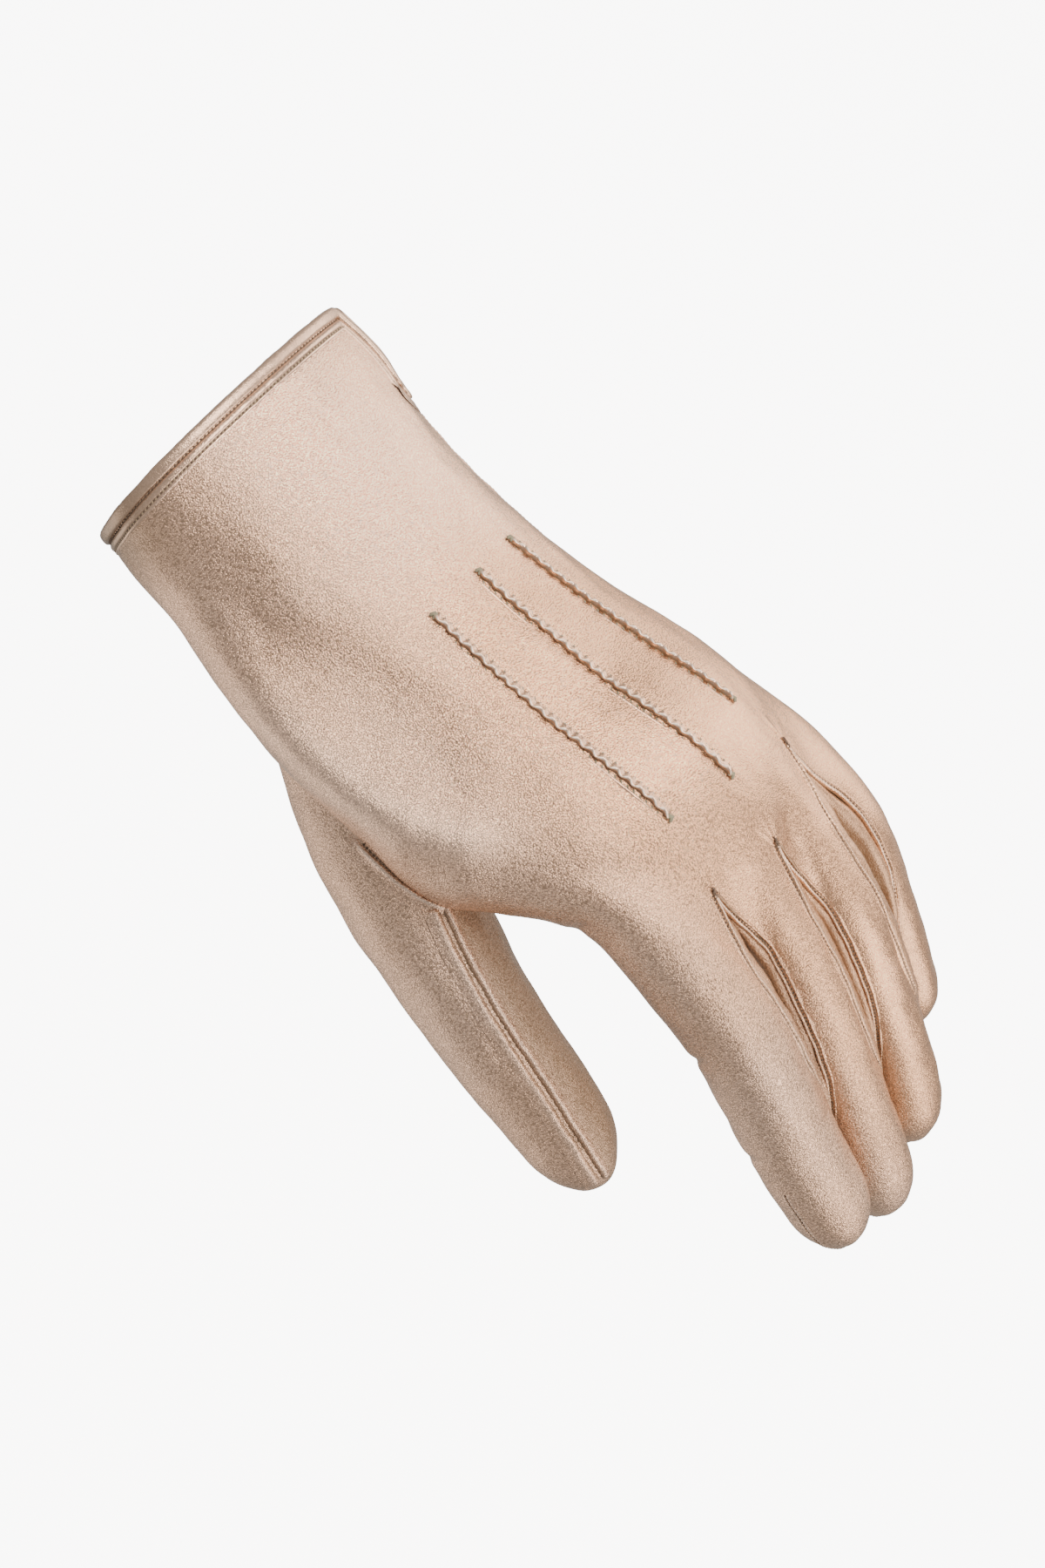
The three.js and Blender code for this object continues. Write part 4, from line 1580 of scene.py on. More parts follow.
class SeamProfile(Enum):
    """Sections of a seam: places aside of its line and above the leather, and the painted light: painted
    shade in its ditch, painted highlights on its lips.
    """

    LAPPED = (
        (-2.4, -0.50, 0.0), (-1.75, -0.08, 0.0), (-1.35, 0.20, 0.12), (-1.08, 0.02, -0.65),
        (-0.80, -0.24, -1.0), (-0.56, 0.04, -0.8), (-0.3, 0.44, 0.35), (0.0, 0.42, 0.35),
        (0.24, 0.10, -0.3), (0.34, -0.4, -0.9), (0.2, -0.9, -1.0),
    )
    CLOSED = (
        (-1.5, -0.2, 0.0), (-0.95, 0.05, 0.0), (-0.45, 0.26, 0.25), (-0.16, 0.12, -0.3),
        (0.0, -0.12, -0.9), (0.16, 0.12, -0.3), (0.45, 0.26, 0.25), (0.95, 0.05, 0.0),
        (1.5, -0.2, 0.0),
    )
    ROLLED = (
        (-3.8, -0.36, 0.0), (-2.9, 0.04, 0.0), (-2.0, 0.52, 0.1), (-1.25, 0.66, 0.15),
        (-0.6, 0.28, -0.6), (-0.05, -0.34, -1.0), (0.5, 0.28, -0.7), (1.05, 0.68, 0.1),
        (1.65, 0.60, 0.15), (2.45, 0.02, -0.5), (3.4, -0.36, -0.6),
    )
    SET_IN = (
        (-2.4, -0.30, 0.0), (-1.6, 0.06, 0.0), (-1.05, 0.42, 0.3), (-0.6, 0.40, 0.3),
        (-0.28, 0.12, -0.2), (0.0, -0.02, -0.6), (0.3, 0.24, -0.3), (0.7, 0.70, 0.0),
        (1.2, 0.75, 0.0), (1.8, 0.30, 0.0),
    )


@dataclass
class Seam:
    """A sewn line: its leather drawn into a ditch with small puckers, and its thread."""

    name: str
    line: Array
    ups: Array
    profile: SeamProfile
    mirrored: bool = False
    pitch: float = 1.02
    pucker: float = 0.07
    stitch_aside: float = -0.74  # of a lapped seam; others have it midway
    stitched: bool = True
    step: float = 0.2
    taper: float = 2.0  # length over which both ends rise out of the leather
    unevenness: float = 0.12
    sway: float = 0.06
    end_depth: float = 0.45
    thread_lift: float = 0.06

    def grids(self) -> tuple[Array, Array, Array | None]:
        """The profile carried along the line, raised by a cosine of the way along it.

        Returns:
            The leather's grid and its tone, and the stitches' grids where there are any.
        """
        run, line, ups = spaced(self.line, self.step, self.ups)
        shape, tone = smooth_profile(self.profile.value, 25)
        if self.mirrored:
            shape, tone = shape[::-1] * (-1.0, 1.0), tone[::-1]
        centre = 0.0 if self.profile is not SeamProfile.LAPPED else self.stitch_aside
        centre = -centre if self.mirrored else centre
        swing = np.cos(2 * math.pi * run / self.pitch)[:, None]
        ends = fading_ends(run, self.taper)
        away = shape[:, 0] - centre
        lift = self.pucker * swing * bell(away, 0.42)
        lift = lift + 0.5 * self.pucker * swing * bell(away, 1.0)
        uneven = self.unevenness * waves(line, 7.0, 21)[:, None] * bell(away, 1.2)
        profile = np.empty((len(run), len(shape), 2))
        profile[..., 0] = shape[:, 0] + self.sway * waves(line, 5.0, 22)[:, None]
        profile[..., 1] = (shape[:, 1] + lift + uneven) * ends - self.end_depth * (1 - ends)
        leather, tone = swept(line, ups, profile), tone * ends
        if not self.stitched:
            return leather, tone, None
        seat = swept(line, ups, np.array([[centre, self.thread_lift]]))[:, 0]
        skip = int(0.6 * self.taper / self.step)
        return leather, tone, stitched_line(seat[skip:-skip], ups[skip:-skip], StitchKind.SEAM)


@dataclass
class Gusset:
    """The strip of leather between two fingers, from the crotch out along both."""

    name: str
    first: Finger
    second: Finger
    crotch: float
    finishes: Finishes
    cut: Cut = Cut()
    rows: int = 96
    columns: int = 30
    lap: float = 7.0  # degrees by which it reaches under both fingers' leather
    depth: float = 1.0
    bulge: float = 0.9
    thickness: float = 0.7
    crotch_dip: float = -0.8
    crowding: float = 1.3

    def side(self, finger: Finger, back_edge: int, parts: Array) -> Array:
        """One side of the strip, from under the finger's back to under its palm side.

        Across, the finger's own section between its two seams is followed, moved so
        that it meets them and sunk below them by the depth.

        Args:
            finger: The finger beside the strip.
            back_edge: 1 where the strip lies at the little-finger side of the finger, else 0.
            parts: Places along the strip, 0 at the crotch to 1 at its end.

        Returns:
            A grid with a row for each part.
        """
        back, palm = strip_of(self.cut, finger, False), strip_of(self.cut, finger, True)
        start = finger.knuckle[0]
        end = start + finger.length - self.cut.seam_join - 2.0
        back_x = mix(self.crotch + 0.5, end, parts)
        palm_x = mix(self.cut.palm + 0.5, end, parts)
        lap = self.lap if back_edge else -self.lap
        at_back = back.edge_angle(back_edge, back_x - start)
        at_palm = palm.edge_angle(1 - back_edge, palm_x - start)
        if back_edge:
            at_palm = at_palm - 360.0
        back_seam, palm_seam = back.point(back_edge, back_x), palm.point(1 - back_edge, palm_x)
        back_down = -back.edge_normal(back_edge, back_x) * self.depth
        palm_down = -palm.edge_normal(1 - back_edge, palm_x) * self.depth
        back_shift = back_seam - finger.point(at_back, back_x - start)
        palm_shift = palm_seam - finger.point(at_palm, palm_x - start)
        narrow = 1 - ramp(3, 9, np.linalg.norm(back_seam - palm_seam, axis=-1))[:, None, None]
        t = np.linspace(0, 1, self.columns + 1)[None, :]
        s = mix(back_x[:, None], palm_x[:, None], t) - start
        angle = mix(at_back[:, None] + lap, at_palm[:, None] - lap, t)
        t = t[..., None]
        grid = finger.point(angle, s)
        grid = grid + back_shift[:, None] * (1 - t) ** 2 + palm_shift[:, None] * t**2
        grid = grid + back_down[:, None] * np.maximum(1 - ramp(0, 0.3, t), narrow * (1 - t))
        return grid + palm_down[:, None] * np.maximum(ramp(0.7, 1, t), narrow * t)

    def grid(self) -> Array:
        """In along the second finger's side, round the crotch, out along the first's.

        Returns:
            A grid with a row for each place along the strip.
        """
        parts = (np.arange(self.rows + 1) / self.rows) ** self.crowding
        near, far = self.side(self.first, 1, parts), self.side(self.second, 0, parts)
        web = (near[:1] + far[:1]) / 2
        merge = ramp(0, 0.12, parts)[:, None, None]
        near, far = mix(web, near, merge), mix(web, far, merge)
        return np.concatenate([far[:0:-1], near])

    def build(self) -> bpy.types.Object:
        """Makes the strip with its bulge and rumples.

        Returns:
            The piece.
        """
        work = Patchwork([self.grid()])
        points, faces, maps = work.joined()
        normals = normals_of(points, faces)
        t = np.zeros(len(points))
        t[maps[0]] = np.linspace(0, 1, self.columns + 1)[None, :]
        place = np.zeros(len(points))
        place[maps[0]] = np.linspace(-1, 1, 2 * self.rows + 1)[:, None]
        inner = np.sin(math.pi * t) ** 0.8
        drawn = points * (0.55, 1.0, 1.0)
        lift = inner * mix(0.5, self.crotch_dip, bell(place, 0.22))
        lift += ramp(0.02, 0.14, np.abs(place)) * self.bulge * bell(t - 0.22, 0.14)
        lift -= 0.5 * bell(t - 0.04, 0.05)
        lift += 0.16 * inner * waves(drawn, 7.0, 32) + 0.06 * waves(points, 2.6, 33) * inner
        # Painted shade across the middle of the strip and in a narrow band along its edge under the
        # fingers' backs
        tone = -0.75 * bell(t - 0.42, 0.26) - 0.8 * bell(t - 0.03, 0.07)
        points = points + normals * lift[:, None]
        piece = make_piece(self.name, points, faces, self.finishes.leather, (self.name,), tone)
        shell = piece.modifiers.new("thickness", "SOLIDIFY")
        shell.thickness = self.thickness * METRES
        shell.offset = -1.0
        return piece


@dataclass
class Thumb:
    """The set-in thumb with its length seam."""

    finishes: Finishes
    relief: Relief = Relief()
    form: ThumbForm = ThumbForm()
    hand: HandForm = HandForm()
    columns: int = 96
    row_step: float = 0.75
    cap_rows: int = 16
    lining_depth: float = 0.9
    lining_coarseness: int = 3
    root_depths: Span = (1.6, 2.6)
    seam_angles: Span = (68.0, 84.0)
    seam_start: float = 92.0
    root_span: Span = (83.5, 104.8)
    root_angles: Span = (24.0, 172.0)
    root_lift: float = 0.35

    def rows(self, coarse: int = 1) -> Array:
        """Places of the rings, closer together towards the tip."""
        cap = self.form.end - self.form.cap
        tube = stops((self.form.start, cap), self.row_step * coarse)
        return np.concatenate([tube, over_cap(cap, self.form.cap, self.cap_rows // coarse)])

    def relief_at(self, points: Array) -> Array:
        """Soft unevenness of the thumb's leather: waves of three lengths."""
        drawn = points * (0.6, 1.0, 1.0)
        broad = 0.28 * waves(drawn, 24.0, 41)
        return broad + 0.13 * waves(drawn, 9.0, 42) + 0.05 * waves(drawn, 4.0, 43)

    def shell(self, coarse: int = 1) -> tuple[Array, Array]:
        """The thumb's tube.

        Args:
            coarse: How many times fewer rows and columns there are.

        Returns:
            Points and faces.
        """
        angles = -np.linspace(0, 360, self.columns // coarse + 1)
        grid = self.form.point(angles[None, :], self.rows(coarse)[:, None])
        points, faces, _ = Patchwork([grid]).joined()
        return points, faces

    def outside_hand(self, points: Array, faces: Array, margin: float) -> Array:
        """Faces that lie outside the hand or just under its skin."""
        return faces[self.hand.depth_inside(points[faces].mean(1)) < margin]

    def build(self) -> list[bpy.types.Object]:
        """Makes the outer leather and the flesh side.

        Returns:
            The two pieces.
        """
        points, faces = self.shell()
        tone = self.shade(points)
        points = points + normals_of(points, faces) * self.relief_at(points)[:, None]
        faces = self.outside_hand(points, faces, self.root_depths[0])
        skin = make_piece("thumb_leather", points, faces, self.finishes.leather, ("thumb",), tone)
        points, faces = self.shell(self.lining_coarseness)
        points = points - normals_of(points, faces) * self.lining_depth
        inward = self.outside_hand(points, faces, self.root_depths[1])[:, ::-1]
        return [skin, make_piece("thumb_flesh_side", points, inward, self.finishes.flesh)]

    def shade(self, points: Array) -> Array:
        """Painted shade over the whole thumb, deeper past the length seam on the side that faces the
        fingers.

        Args:
            points: Places on the form.

        Returns:
            Painted light for each point.
        """
        centre, side, up, _ = self.form.axes(points[:, 0])
        away = points - centre
        turn = np.degrees(np.arctan2(dot(away, up)[:, 0], dot(away, side)[:, 0]))
        inner = ramp(76.0, 56.0, turn) * ramp(-90.0, -50.0, turn) * ramp(98.0, 110.0, points[:, 0])
        return -0.1 - 0.58 * inner

    def root_seam(self) -> Seam:
        """The seam where the thumb comes out of the hand's swollen skin.

        Returns:
            The seam.
        """
        x = np.linspace(*self.root_span, 100)

        def in_hand(angle: Array) -> Array:
            """Whether the thumb's leather at an angle still lies inside the hand."""
            place = self.form.point(angle, x)
            return self.hand.depth_inside(place - SLANT * self.relief.swells(place)[:, None]) > 0.0

        angle = last_angle(np.full(len(x), 20.0), np.full(len(x), 178.0), in_hand, halvings=22)
        line = self.form.point(angle, x)
        around = self.form.point(angle + 2, x) - self.form.point(angle - 2, x)
        ups = unit(unit(np.cross(around, self.form.axes(x)[3])) + SLANT)
        keep = (angle > self.root_angles[0]) & (angle < self.root_angles[1])
        line = (line + ups * (self.relief_at(line) + self.root_lift)[:, None])[keep]
        ups, profile, look = ups[keep], SeamProfile.SET_IN, {"pucker": 0.1, "taper": 5.5}
        return Seam("thumb_root_seam", line, ups, profile, **look)

    def seam(self) -> Seam:
        """The rolled seam along the thumb, from the hand to over its tip.

        Returns:
            The seam.
        """
        x = self.rows()
        x = x[(x > self.seam_start) & (x < self.form.end - 0.6)]
        angle = mix(self.seam_angles[0], self.seam_angles[1], np.linspace(0, 1, len(x)))
        line = self.form.point(angle, x)
        around = self.form.point(angle + 2, x) - self.form.point(angle - 2, x)
        ups = unit(np.cross(around, np.gradient(line, axis=0)))
        ups[-1] = ups[-2]
        line = line + ups * self.relief_at(line)[:, None]
        keep = self.hand.depth_inside(line) < 0.5
        line, ups, profile = line[keep], ups[keep], SeamProfile.ROLLED
        look = {"stitched": False, "pitch": 1.6, "pucker": 0.1}
        return Seam("thumb_seam", line, ups, profile, **look)


@dataclass
class Binding:
    """The folded strip over the cuff's edge and round the slit, with its two stitch rows."""

    finishes: Finishes
    relief: Relief = Relief()
    cuff: Cuff = Cuff()
    roll_at: float = 1.32
    roll_sink: float = 0.12
    roll_tone: float = -0.3
    half_width: float = 1.42
    half_height: float = 0.95
    sides: int = 26
    step: float = 0.5
    rows_at: Span = (2.98, 4.85)
    row_slant: float = 28.0
    thread_lift: float = 0.06
    band_at: float = 4.1
    band_reach: float = 2.3
    band_step: float = 0.4
    band_lift: float = 0.14
    # Depth of the painted shade on the cuff's thumb side
    olive_tone: float = -0.55
    # Across the band: distance from the edge, height, and painted light: painted shade under the roll's
    # edge, in both stitch ditches and lightly over the raised band, a painted highlight on the small
    # ridge next to the roll
    band: Table = Table(
        ("distance", "up", "tone"),
        (
            (2.0, -0.60, -0.6), (2.5, -0.12, -0.8), (2.68, 0.12, 0.35), (2.98, -0.10, -1.0),
            (3.25, 0.04, -0.1), (3.7, 0.26, -0.2), (4.3, 0.26, -0.2), (4.62, 0.04, -0.3),
            (4.85, -0.14, -0.9), (5.1, 0.06, -0.1), (5.5, -0.02, 0.0), (6.4, -0.95, 0.0),
        ),
    )

    def thumb_side_shade(self, points: Array) -> Array:
        """Painted shade where the cuff turns away to the thumb side."""
        return self.olive_tone * (1 - ramp(-36.0, -12.0, points @ ASIDE))

    def roll(self) -> bpy.types.Object:
        """The folded strip, lower where it ends at the notch.

        Aside it is half width times cosine, upwards half height times sine, both to
        the power 0.75 and a little uneven.
        """
        points, ups = self.cuff.path(self.roll_at, self.step)
        turn = np.linspace(math.pi, -math.pi, self.sides + 1)
        uneven = 1.0 + 0.04 * waves(points, 9.0, 51)[:, None] + 0.02 * waves(points, 2.2, 52)[:, None]
        notch = self.cuff.hand.vent.notch
        high = mix(1.0, 0.6, ramp(notch - 8.0, notch, points[:, 0]))[:, None]
        aside = self.half_width * power(np.cos(turn), 0.75) * uneven
        up = self.half_height * power(np.sin(turn), 0.75) * uneven * high - self.roll_sink
        grid = swept(points, ups, np.stack([aside, up], -1), closed=True)
        # Painted shade on the thumb side, and the whole roll a little darker
        tone = self.thumb_side_shade(grid) + self.roll_tone
        return patch_piece("binding_roll", [grid], self.finishes.edge, ("cuff_binding",), [tone])

    def stitched_band(self) -> bpy.types.Object:
        """The leather beside the strip: a ridge, a ditch, a raised band and a second ditch.

        Its height is the band's at each place's own distance from the cuff's edge.
        """
        line, up = self.cuff.path(self.band_at, self.band_step)
        across = np.linspace(-self.band_reach, self.band_reach, 60)
        flat = np.stack([across, np.zeros(60)], -1)
        grid = swept(line, up, flat, closed=True)
        away = self.cuff.distance(grid)
        ups = np.broadcast_to(np.concatenate([up, up[:1]])[:, None], grid.shape)
        run = np.arange(len(grid))[:, None] * self.band_step
        near_rows = sum(bell(away - row, 0.3) for row in self.rows_at)
        tuck = 0.05 * np.cos(2 * math.pi * run / StitchKind.HEM.pitch) * near_rows
        notch = self.cuff.hand.vent.notch
        calm = 1.0 - 0.8 * ramp(notch - 5.0, notch - 1.0, grid[..., 0])
        height = mix(0.1, self.band.at("up", away) + tuck, calm) + self.band_lift
        grid = grid + ups * (height + self.relief.height(grid))[..., None]
        # Painted light of the band's section, calmer near the notch, with painted shade on the thumb
        # side
        tone = self.band.at("tone", away) * calm + self.thumb_side_shade(grid)
        return patch_piece("stitched_band", [grid], self.finishes.edge, (), [tone])

    def build(self) -> list[bpy.types.Object]:
        """Makes the strip, the band and the stitches.

        Returns:
            The pieces.
        """
        pieces = [self.roll(), self.stitched_band()]
        # Dark stitches that also stand for the shade in their holes; the second row sets them between
        # pale stitches
        dark_thread_and_hole_shade, pale = self.finishes.seam_thread_and_hole_shade, self.finishes.hem_thread
        for distance, threads in zip(self.rows_at, ((dark_thread_and_hole_shade,), (dark_thread_and_hole_shade, pale))):
            line, up = self.cuff.path(distance, self.step)
            height = self.relief.height(line) + self.band_lift + self.band.at("up", distance)
            line = line + up * height[:, None]
            line, up = np.concatenate([line, line[:1]]), np.concatenate([up, up[:1]])
            slant = self.row_slant * (len(threads) - 1)
            for k, thread in enumerate(threads):
                bars = stitched_line(line, up, StitchKind.HEM, self.thread_lift, slant, 2 * k)
                pieces.append(patch_piece(f"hem_stitches_{distance:.0f}_{k + 1}", [bars], thread))
        return pieces


RIDGE_LINES = Table(
    ("ridge", "start_x", "start_y", "end_x", "end_y", "bow"),
    ((1, 61, -6.5, 127, -3.5, -0.9), (2, 61, 8.7, 130, 14.2, -1), (3, 60.5, 21.2, 119.5, 29.5, 0)),
)


@dataclass
class Points:
    """The three raised sewn lines on the back of the hand."""

    finishes: Finishes
    relief: Relief = Relief()
    hand: HandForm = HandForm()
    step: float = 0.3
    pitch: float = 3.3
    sway: float = 0.38
    taper: float = 2.2
    seats: tuple[Span, ...] = ((-1.0, -0.12), (1.30, 0.22))  # aside and up of the thread
    seat_ends: int = 8
    knot_bars: tuple[int, ...] = (2, 3, 4, 5, -3, -4, -5, -6)
    knot_turns: tuple[float, ...] = (80.0, 25.0, 100.0, -20.0, -80.0, -30.0, 60.0, 15.0)
    knot_lift: float = 0.42
    # Section of the fold: places aside and up, and the painted light: a painted highlight on the crest,
    # painted shadow in the ditch and up the flank on the thumb side, lighter painted shade on the other
    # flank
    section: tuple[Triple, ...] = (
        (-2.6, -0.75, 0.0), (-1.95, -0.18, -0.05), (-1.45, -0.04, -0.3), (-1.1, -0.25, -0.9),
        (-0.80, -0.50, -1.0), (-0.58, -0.32, -1.0), (-0.50, 0.30, -0.85), (-0.52, 0.84, 0.15),
        (-0.38, 1.12, 1.0), (-0.10, 1.20, 1.0), (0.16, 1.04, 0.5), (0.30, 0.72, 0.1),
        (0.50, 0.58, -0.22), (0.90, 0.50, -0.22), (1.24, 0.42, -0.22), (1.38, 0.14, -0.45),
        (1.5, -0.03, -0.4), (1.9, -0.22, 0.0), (2.5, -0.75, 0.0),
    )

    def line(self, row: tuple[float, ...]) -> tuple[Array, Array, Array]:
        """One ridge's line: straight in the plan but for a bow, laid on the leather.

        Args:
            row: Its row of RIDGE_LINES.

        Returns:
            Distances along it, points and upward directions.
        """
        _, start_x, start_y, end_x, end_y, bow = row
        t = np.linspace(0, 1, 160)
        x = mix(start_x, end_x, t)
        y = mix(start_y, end_y, t) + bow * np.sin(math.pi * t)
        angle = self.hand.angle_above(x, y)
        line, ups = self.hand.point(angle, x), self.hand.normal(angle, x)
        return spaced(self.relief.lifted(line, ups), self.step, ups)

    def leather(self, run: Array, line: Array, ups: Array) -> tuple[Array, Array]:
        """The pinched fold: its section carried along, the crest swaying by a sine.

        Args:
            run: Distances along the line.
            line: Its points.
            ups: Upward directions.

        Returns:
            The grid and its painted light.
        """
        shape, tone = smooth_profile(self.section, 52)
        ends = fading_ends(run, self.taper)
        phase = 2 * math.pi * run / self.pitch + 0.5 * waves(line, 14.0, 61)
        swing = np.sin(phase)[:, None]
        rise = np.clip(shape[:, 1] / 1.1, 0, 1)
        edge = bell(shape[:, 0] - 1.25, 0.35)
        profile = np.empty((len(run), len(shape), 2))
        profile[..., 0] = shape[:, 0] + self.sway * swing * rise**1.3 * ends
        profile[..., 0] += 0.22 * np.cos(phase * 2.0)[:, None] * edge * ends
        high = 1 + 0.10 * waves(line, 5.0, 62)[:, None] + 0.06 * np.cos(2 * phase)[:, None]
        up = shape[:, 1]
        profile[..., 1] = np.where(up > 0, up * high * (0.1 + 0.9 * ends), up * ends)
        profile[..., 1] -= 0.25 * (1 - ends) + 0.10 * edge * (0.5 - 0.5 * swing) * ends
        # The crest's painted highlight brightens and fades twice a sway
        tone = np.where(tone > 0, tone * (0.62 + 0.38 * np.sin(phase * 2.0 + 0.9)[:, None]), tone)
        return swept(line, ups, profile), tone * ends

    def stitches(self, line: Array, ups: Array) -> list[Array]:
        """Thread at the foot of both flanks, and a knot at each end.

        Args:
            line: Points of the ridge's line.
            ups: Upward directions.

        Returns:
            Stacks of grids.
        """
        grids = []
        inner = slice(self.seat_ends, -self.seat_ends)
        for seat in self.seats:
            thread = swept(line, ups, np.array([seat]))[:, 0]
            grids.append(stitched_line(thread[inner], ups[inner], StitchKind.POINT, slant=-35.0))
        ahead, aside, _ = line_frames(line, ups)
        ends, turns = np.array(self.knot_bars), np.array(self.knot_turns)[:, None]
        lean, up = leaning(ahead[ends], aside[ends], turns), ups[ends]
        grids.append(stitch_bars(line[ends] + up * self.knot_lift, lean, up, StitchKind.POINT_KNOT))
        return grids

    def build(self) -> list[bpy.types.Object]:
        """Makes the three ridges and their thread.

        Returns:
            The pieces.
        """
        pieces = []
        for row in RIDGE_LINES.rows:
            run, line, ups = self.line(row)
            number = int(row[0])
            fold, tone = self.leather(run, line, ups)
            node = f"point_ridge_{number}"
            pieces.append(patch_piece(f"point_{number}", [fold], self.finishes.edge, (node,), [tone]))
            bars, thread = self.stitches(line, ups), self.finishes.point_thread
            pieces.append(patch_piece(f"point_thread_{number}", bars, thread))
        return pieces


@dataclass
class Seams:
    """Every sewn line on the wrap: beside the gussets, at the fingertips and at the side."""

    finishes: Finishes
    relief: Relief = Relief()
    cut: Cut = Cut()
    side_start: float = 28.0
    knot_places: tuple[float, ...] = (-1.7, -1.3, -0.9, -0.6, -0.2, 0.2)
    knot_turns: tuple[float, ...] = (20.0, -50.0, 80.0, -15.0, 55.0, -80.0)
    knot_lift: float = 0.3

    def beside_gusset(self, finger: Finger, under: bool, edge: int, crotch: float) -> Seam:
        """The lapped edge of one strip from the crotch to where the seam closes.

        Args:
            finger: The strip's finger.
            under: Whether it is the strip of the palm side.
            edge: 0 for its first edge, 1 for its last.
            crotch: Where the edge parts from its neighbour.

        Returns:
            The seam.
        """
        strip = strip_of(self.cut, finger, under)
        closed = finger.knuckle[0] + finger.length - self.cut.seam_join
        x = np.linspace(crotch - 1.6, closed + 1.0, 220)
        line, ups = strip.point(edge, x), strip.edge_normal(edge, x)
        name, line = f"seam_{strip.name}_{edge}", self.relief.lifted(line, ups)
        return Seam(name, line, ups, SeamProfile.LAPPED, mirrored=edge == 0)

    def round_tip(self, finger: Finger) -> Seam:
        """The closed seam round a fingertip: out along one side and back along the other.

        Args:
            finger: The finger.

        Returns:
            The seam.
        """
        start = finger.length - self.cut.seam_join - 3.0
        cap = finger.length - finger.cap
        up_to = np.concatenate([np.linspace(start, cap, 40), over_cap(cap, finger.cap, 59)])
        s = np.concatenate([up_to, up_to[-2::-1]])
        angle = np.concatenate([np.full(len(up_to), 180.0), np.full(len(up_to) - 1, 0.0)])
        line = finger.point(angle, s)
        centre, _, back = finger.axes(np.minimum(s, cap + 4.0))
        ups = unit(line - centre + 1e-6)
        line = self.relief.lifted(line, ups)
        return Seam(f"tip_seam_{finger.name}", line, ups, SeamProfile.CLOSED)

    def side(self) -> Seam:
        """The closed side seam from the slit to the little finger's tip.

        Returns:
            The seam.
        """
        back, palm = strip_of(self.cut, LITTLE, False), strip_of(self.cut, LITTLE, True)
        end = LITTLE.knuckle[0] + LITTLE.length - self.cut.seam_join
        x = np.linspace(self.side_start, end, 500)
        line = back.point(1.0, x)
        across = palm.point(0.04, x) - back.point(0.96, x)
        ups = unit(np.cross(np.gradient(line, axis=0), across))
        line = self.relief.lifted(line, ups)
        return Seam("side_seam", line, ups, SeamProfile.CLOSED)

    def knot(self, finger: Finger, crotch: float) -> Array:
        """Thread drawn together where the two seams of a crotch meet.

        Args:
            finger: The finger past the crotch towards the little-finger side.
            crotch: Where it parts from its neighbour.

        Returns:
            A stack of grids, one for each bar.
        """
        strip = strip_of(self.cut, finger, False)
        x = crotch + np.array(self.knot_places)
        line, ups = strip.point(0.0, x), strip.edge_normal(0.0, x)
        ahead, aside, ups = line_frames(self.relief.lifted(line, ups), ups)
        lean = leaning(ahead, aside, np.array(self.knot_turns)[:, None])
        places = self.relief.lifted(line, ups) + ups * self.knot_lift
        return stitch_bars(places, lean, ups, StitchKind.KNOT)

    def build(self, more: list[Seam]) -> list[bpy.types.Object]:
        """Makes the seams' leather as one piece for each line, and one piece of thread.

        Args:
            more: Seams of other pieces, sewn with the same thread.

        Returns:
            The pieces.
        """
        edges: list[tuple[Finger, int, float]] = []
        for first, second, crotch in self.cut.crotches():
            edges += [(first, 1, crotch), (second, 0, crotch)]
        seams = [self.beside_gusset(finger, False, edge, crotch) for finger, edge, crotch in edges]
        seams += [self.beside_gusset(finger, True, 1 - edge, self.cut.palm) for finger, edge, _ in edges]
        seams += [self.round_tip(finger) for finger in FINGERS]
        seams += [self.side(), *more]
        pieces, threads = [], []
        for seam in seams:
            leather, tone, bars = seam.grids()
            pieces.append(patch_piece(seam.name, [leather], self.finishes.leather, (), [tone]))
            if bars is not None:
                threads.append(bars)
        threads += [self.knot(finger, crotch) for finger, edge, crotch in edges if edge == 0]
        pieces.append(patch_piece("seam_stitches", threads, self.finishes.seam_thread_and_hole_shade))
        return pieces


# Floor, light and camera


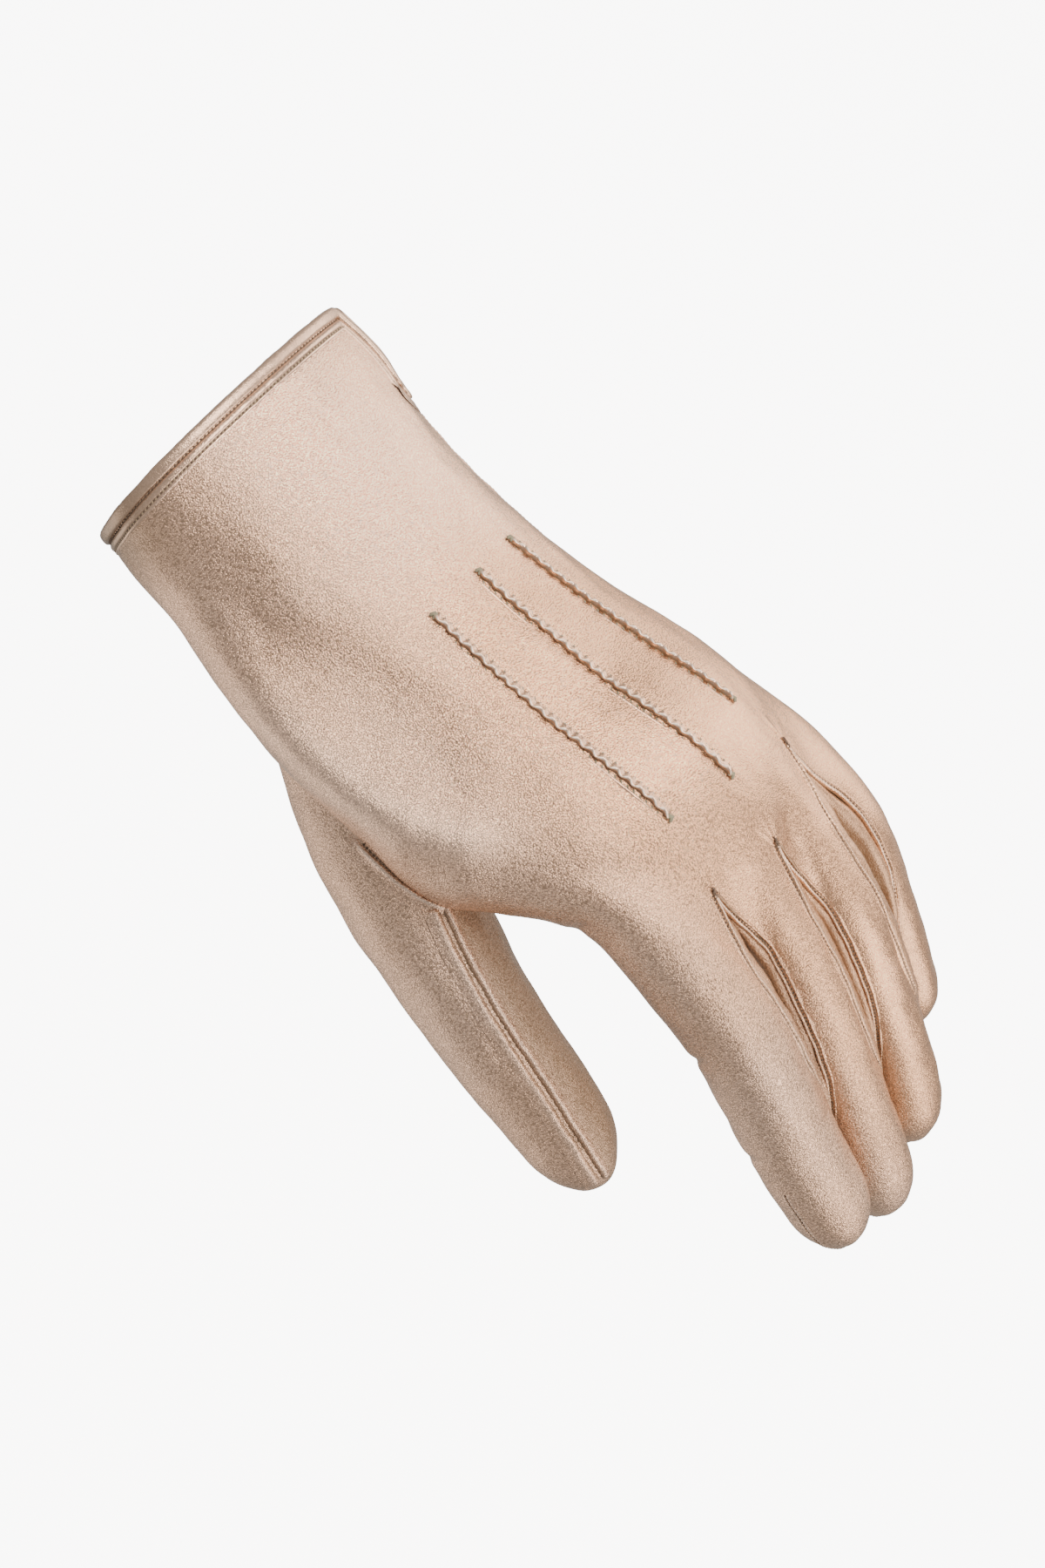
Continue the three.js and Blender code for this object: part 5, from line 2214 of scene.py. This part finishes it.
@dataclass(frozen=True)
class Studio:
    """Pale floor, soft lights and the camera over the back of the hand."""

    tilt: float = VIEW_TILT
    turn: float = 44.5
    picture: Span = (1200, 1800)
    pixels_per_mm: float = 5.45
    origin_pixel: Span = (250.2, 482.4)  # where the glove's origin lies in the picture
    distance: float = 1.0
    sensor: float = 36.0
    floor_depth: float = 1.2
    floor_margin: float = 1.12
    floor_glow: float = 8.0
    sky: Triple = (1.0, 0.93, 0.86)
    sky_strength: float = 0.44
    middle: Triple = (0.11, 0.0, 0.0)
    tint: Triple = (1.0, 0.81, 0.65)
    # Name; metres to the right, up and back of the glove's middle; size; watts
    lamps: tuple[tuple[str, float, float, float, float, float], ...] = (
        ("overhead", 0.48, 0.60, 0.98, 0.75, 16.2),
        ("little_finger_side", 1.00, 0.75, 0.00, 1.00, 10.5),
        ("fingertips", 0.95, -0.62, 0.15, 0.90, 12.5),
        ("thumb_side", -0.85, -0.50, -0.35, 0.90, 5.2),
        ("beyond", 0.75, 0.62, -0.55, 0.90, 4.5),
    )

    @property
    def scale(self) -> float:
        """Metres of the glove to a pixel of the picture."""
        return METRES / self.pixels_per_mm

    @property
    def half(self) -> Span:
        """Half the picture's width and height in pixels."""
        return self.picture[0] / 2, self.picture[1] / 2

    def axes(self) -> tuple[Vector, Vector, Vector]:
        """Right, up and backward directions of the view."""
        tilt, turn = math.radians(self.tilt), math.radians(self.turn)
        back = Vector((0.0, -math.sin(tilt), math.cos(tilt)))
        ahead = (Vector((1, 0, 0)) - back * back.x).normalized()
        aside = back.cross(ahead)
        right = ahead * math.cos(turn) + aside * math.sin(turn)
        up = aside * math.cos(turn) - ahead * math.sin(turn)
        return right, up, back

    def aim(self) -> Vector:
        """Place at the middle of the picture, in the plane through the origin."""
        right, up, _ = self.axes()
        across, down = (half - at for half, at in zip(self.half, self.origin_pixel))
        return right * (across * self.scale) - up * (down * self.scale)

    def camera(self) -> None:
        """Places the camera as the picture was taken."""
        right, up, back = self.axes()
        data = bpy.data.cameras.new("camera")
        data.sensor_fit = "VERTICAL"
        data.sensor_height = self.sensor
        data.lens = self.sensor * self.distance / (self.picture[1] * self.scale)
        data.clip_end = 10.0
        camera = placed("camera", data)
        turn = Matrix((right, up, back)).transposed()
        camera.matrix_world = Matrix.Translation(self.aim() + back * self.distance) @ turn.to_4x4()
        bpy.context.scene.camera = camera

    def light(self, name: str, place: Vector, size: float, watts: float) -> None:
        """One soft lamp that faces the glove.

        Args:
            name: The lamp's name.
            place: Where it hangs.
            size: Its side in metres.
            watts: Its power.
        """
        data = bpy.data.lights.new(name, "AREA")
        data.size = size
        data.energy = watts
        data.color = self.tint
        lamp = placed(name, data)
        turn = (Vector(self.middle) - place).to_track_quat("-Z", "Y")
        lamp.matrix_world = Matrix.Translation(place) @ turn.to_matrix().to_4x4()

    def floor(self) -> None:
        """A glowing matte floor that just fills the picture."""
        right, up, back = self.axes()
        mesh = bpy.data.meshes.new("floor")
        eye, corners = self.aim() + back * self.distance, []
        width, height = self.half
        reach = self.floor_margin * self.scale
        for i, j in ((-1, -1), (1, -1), (1, 1), (-1, 1)):
            ray = self.aim() + right * (i * width * reach) + up * (j * height * reach) - eye
            corners.append(eye + ray * ((-self.floor_depth - eye.z) / ray.z))
        mesh.from_pydata(corners, [], [(0, 1, 2, 3)])
        material = Graph("floor").finish(
            Base_Color=(0.93, 0.93, 0.93, 1),
            Roughness=0.9,
            Emission_Color=(1.0, 1.0, 1.0, 1),
            Emission_Strength=self.floor_glow,
        )
        mesh.materials.append(material)
        floor = placed("floor", mesh)
        floor.visible_glossy = False

    def build(self) -> None:
        """Floor, world, lamps and camera."""
        self.floor()
        world = bpy.data.worlds.new("studio")
        world.use_nodes = True
        colour, strength = world.node_tree.nodes["Background"].inputs[:2]
        colour.default_value = (*self.sky, 1.0)
        strength.default_value = self.sky_strength
        bpy.context.scene.world = world
        right, up, back = self.axes()
        for name, at_right, at_up, at_back, size, watts in self.lamps:
            place = Vector(self.middle) + right * at_right + up * at_up + back * at_back
            self.light(name, place, size, watts)
        self.camera()


def describe(pieces: list[bpy.types.Object]) -> None:
    """Reports the size of each piece.

    Args:
        pieces: The glove's pieces.
    """
    for piece in pieces:
        low, high = np.array(piece.bound_box).min(0), np.array(piece.bound_box).max(0)
        triangles = sum(len(p.vertices) - 2 for p in piece.data.polygons)
        log.info("%s: %d triangles, %s mm", piece.name, triangles, np.round((high - low) / METRES, 1))


def main() -> None:
    """Builds the glove piece by piece."""
    logging.basicConfig(level=logging.INFO, format="%(name)s: %(message)s")
    finishes = Finishes()
    pieces = Wrap(finishes).build()
    for first, second, crotch in Cut().crotches():
        name = f"fourchette_{first.name}_{second.name}"
        pieces.append(Gusset(name, first, second, crotch, finishes).build())
    thumb = Thumb(finishes)
    pieces += thumb.build()
    pieces += Binding(finishes).build()
    pieces += Points(finishes).build()
    pieces += Seams(finishes).build([thumb.seam(), thumb.root_seam()])
    describe(pieces)
    Studio().build()


if __name__ == "__main__":
    main()
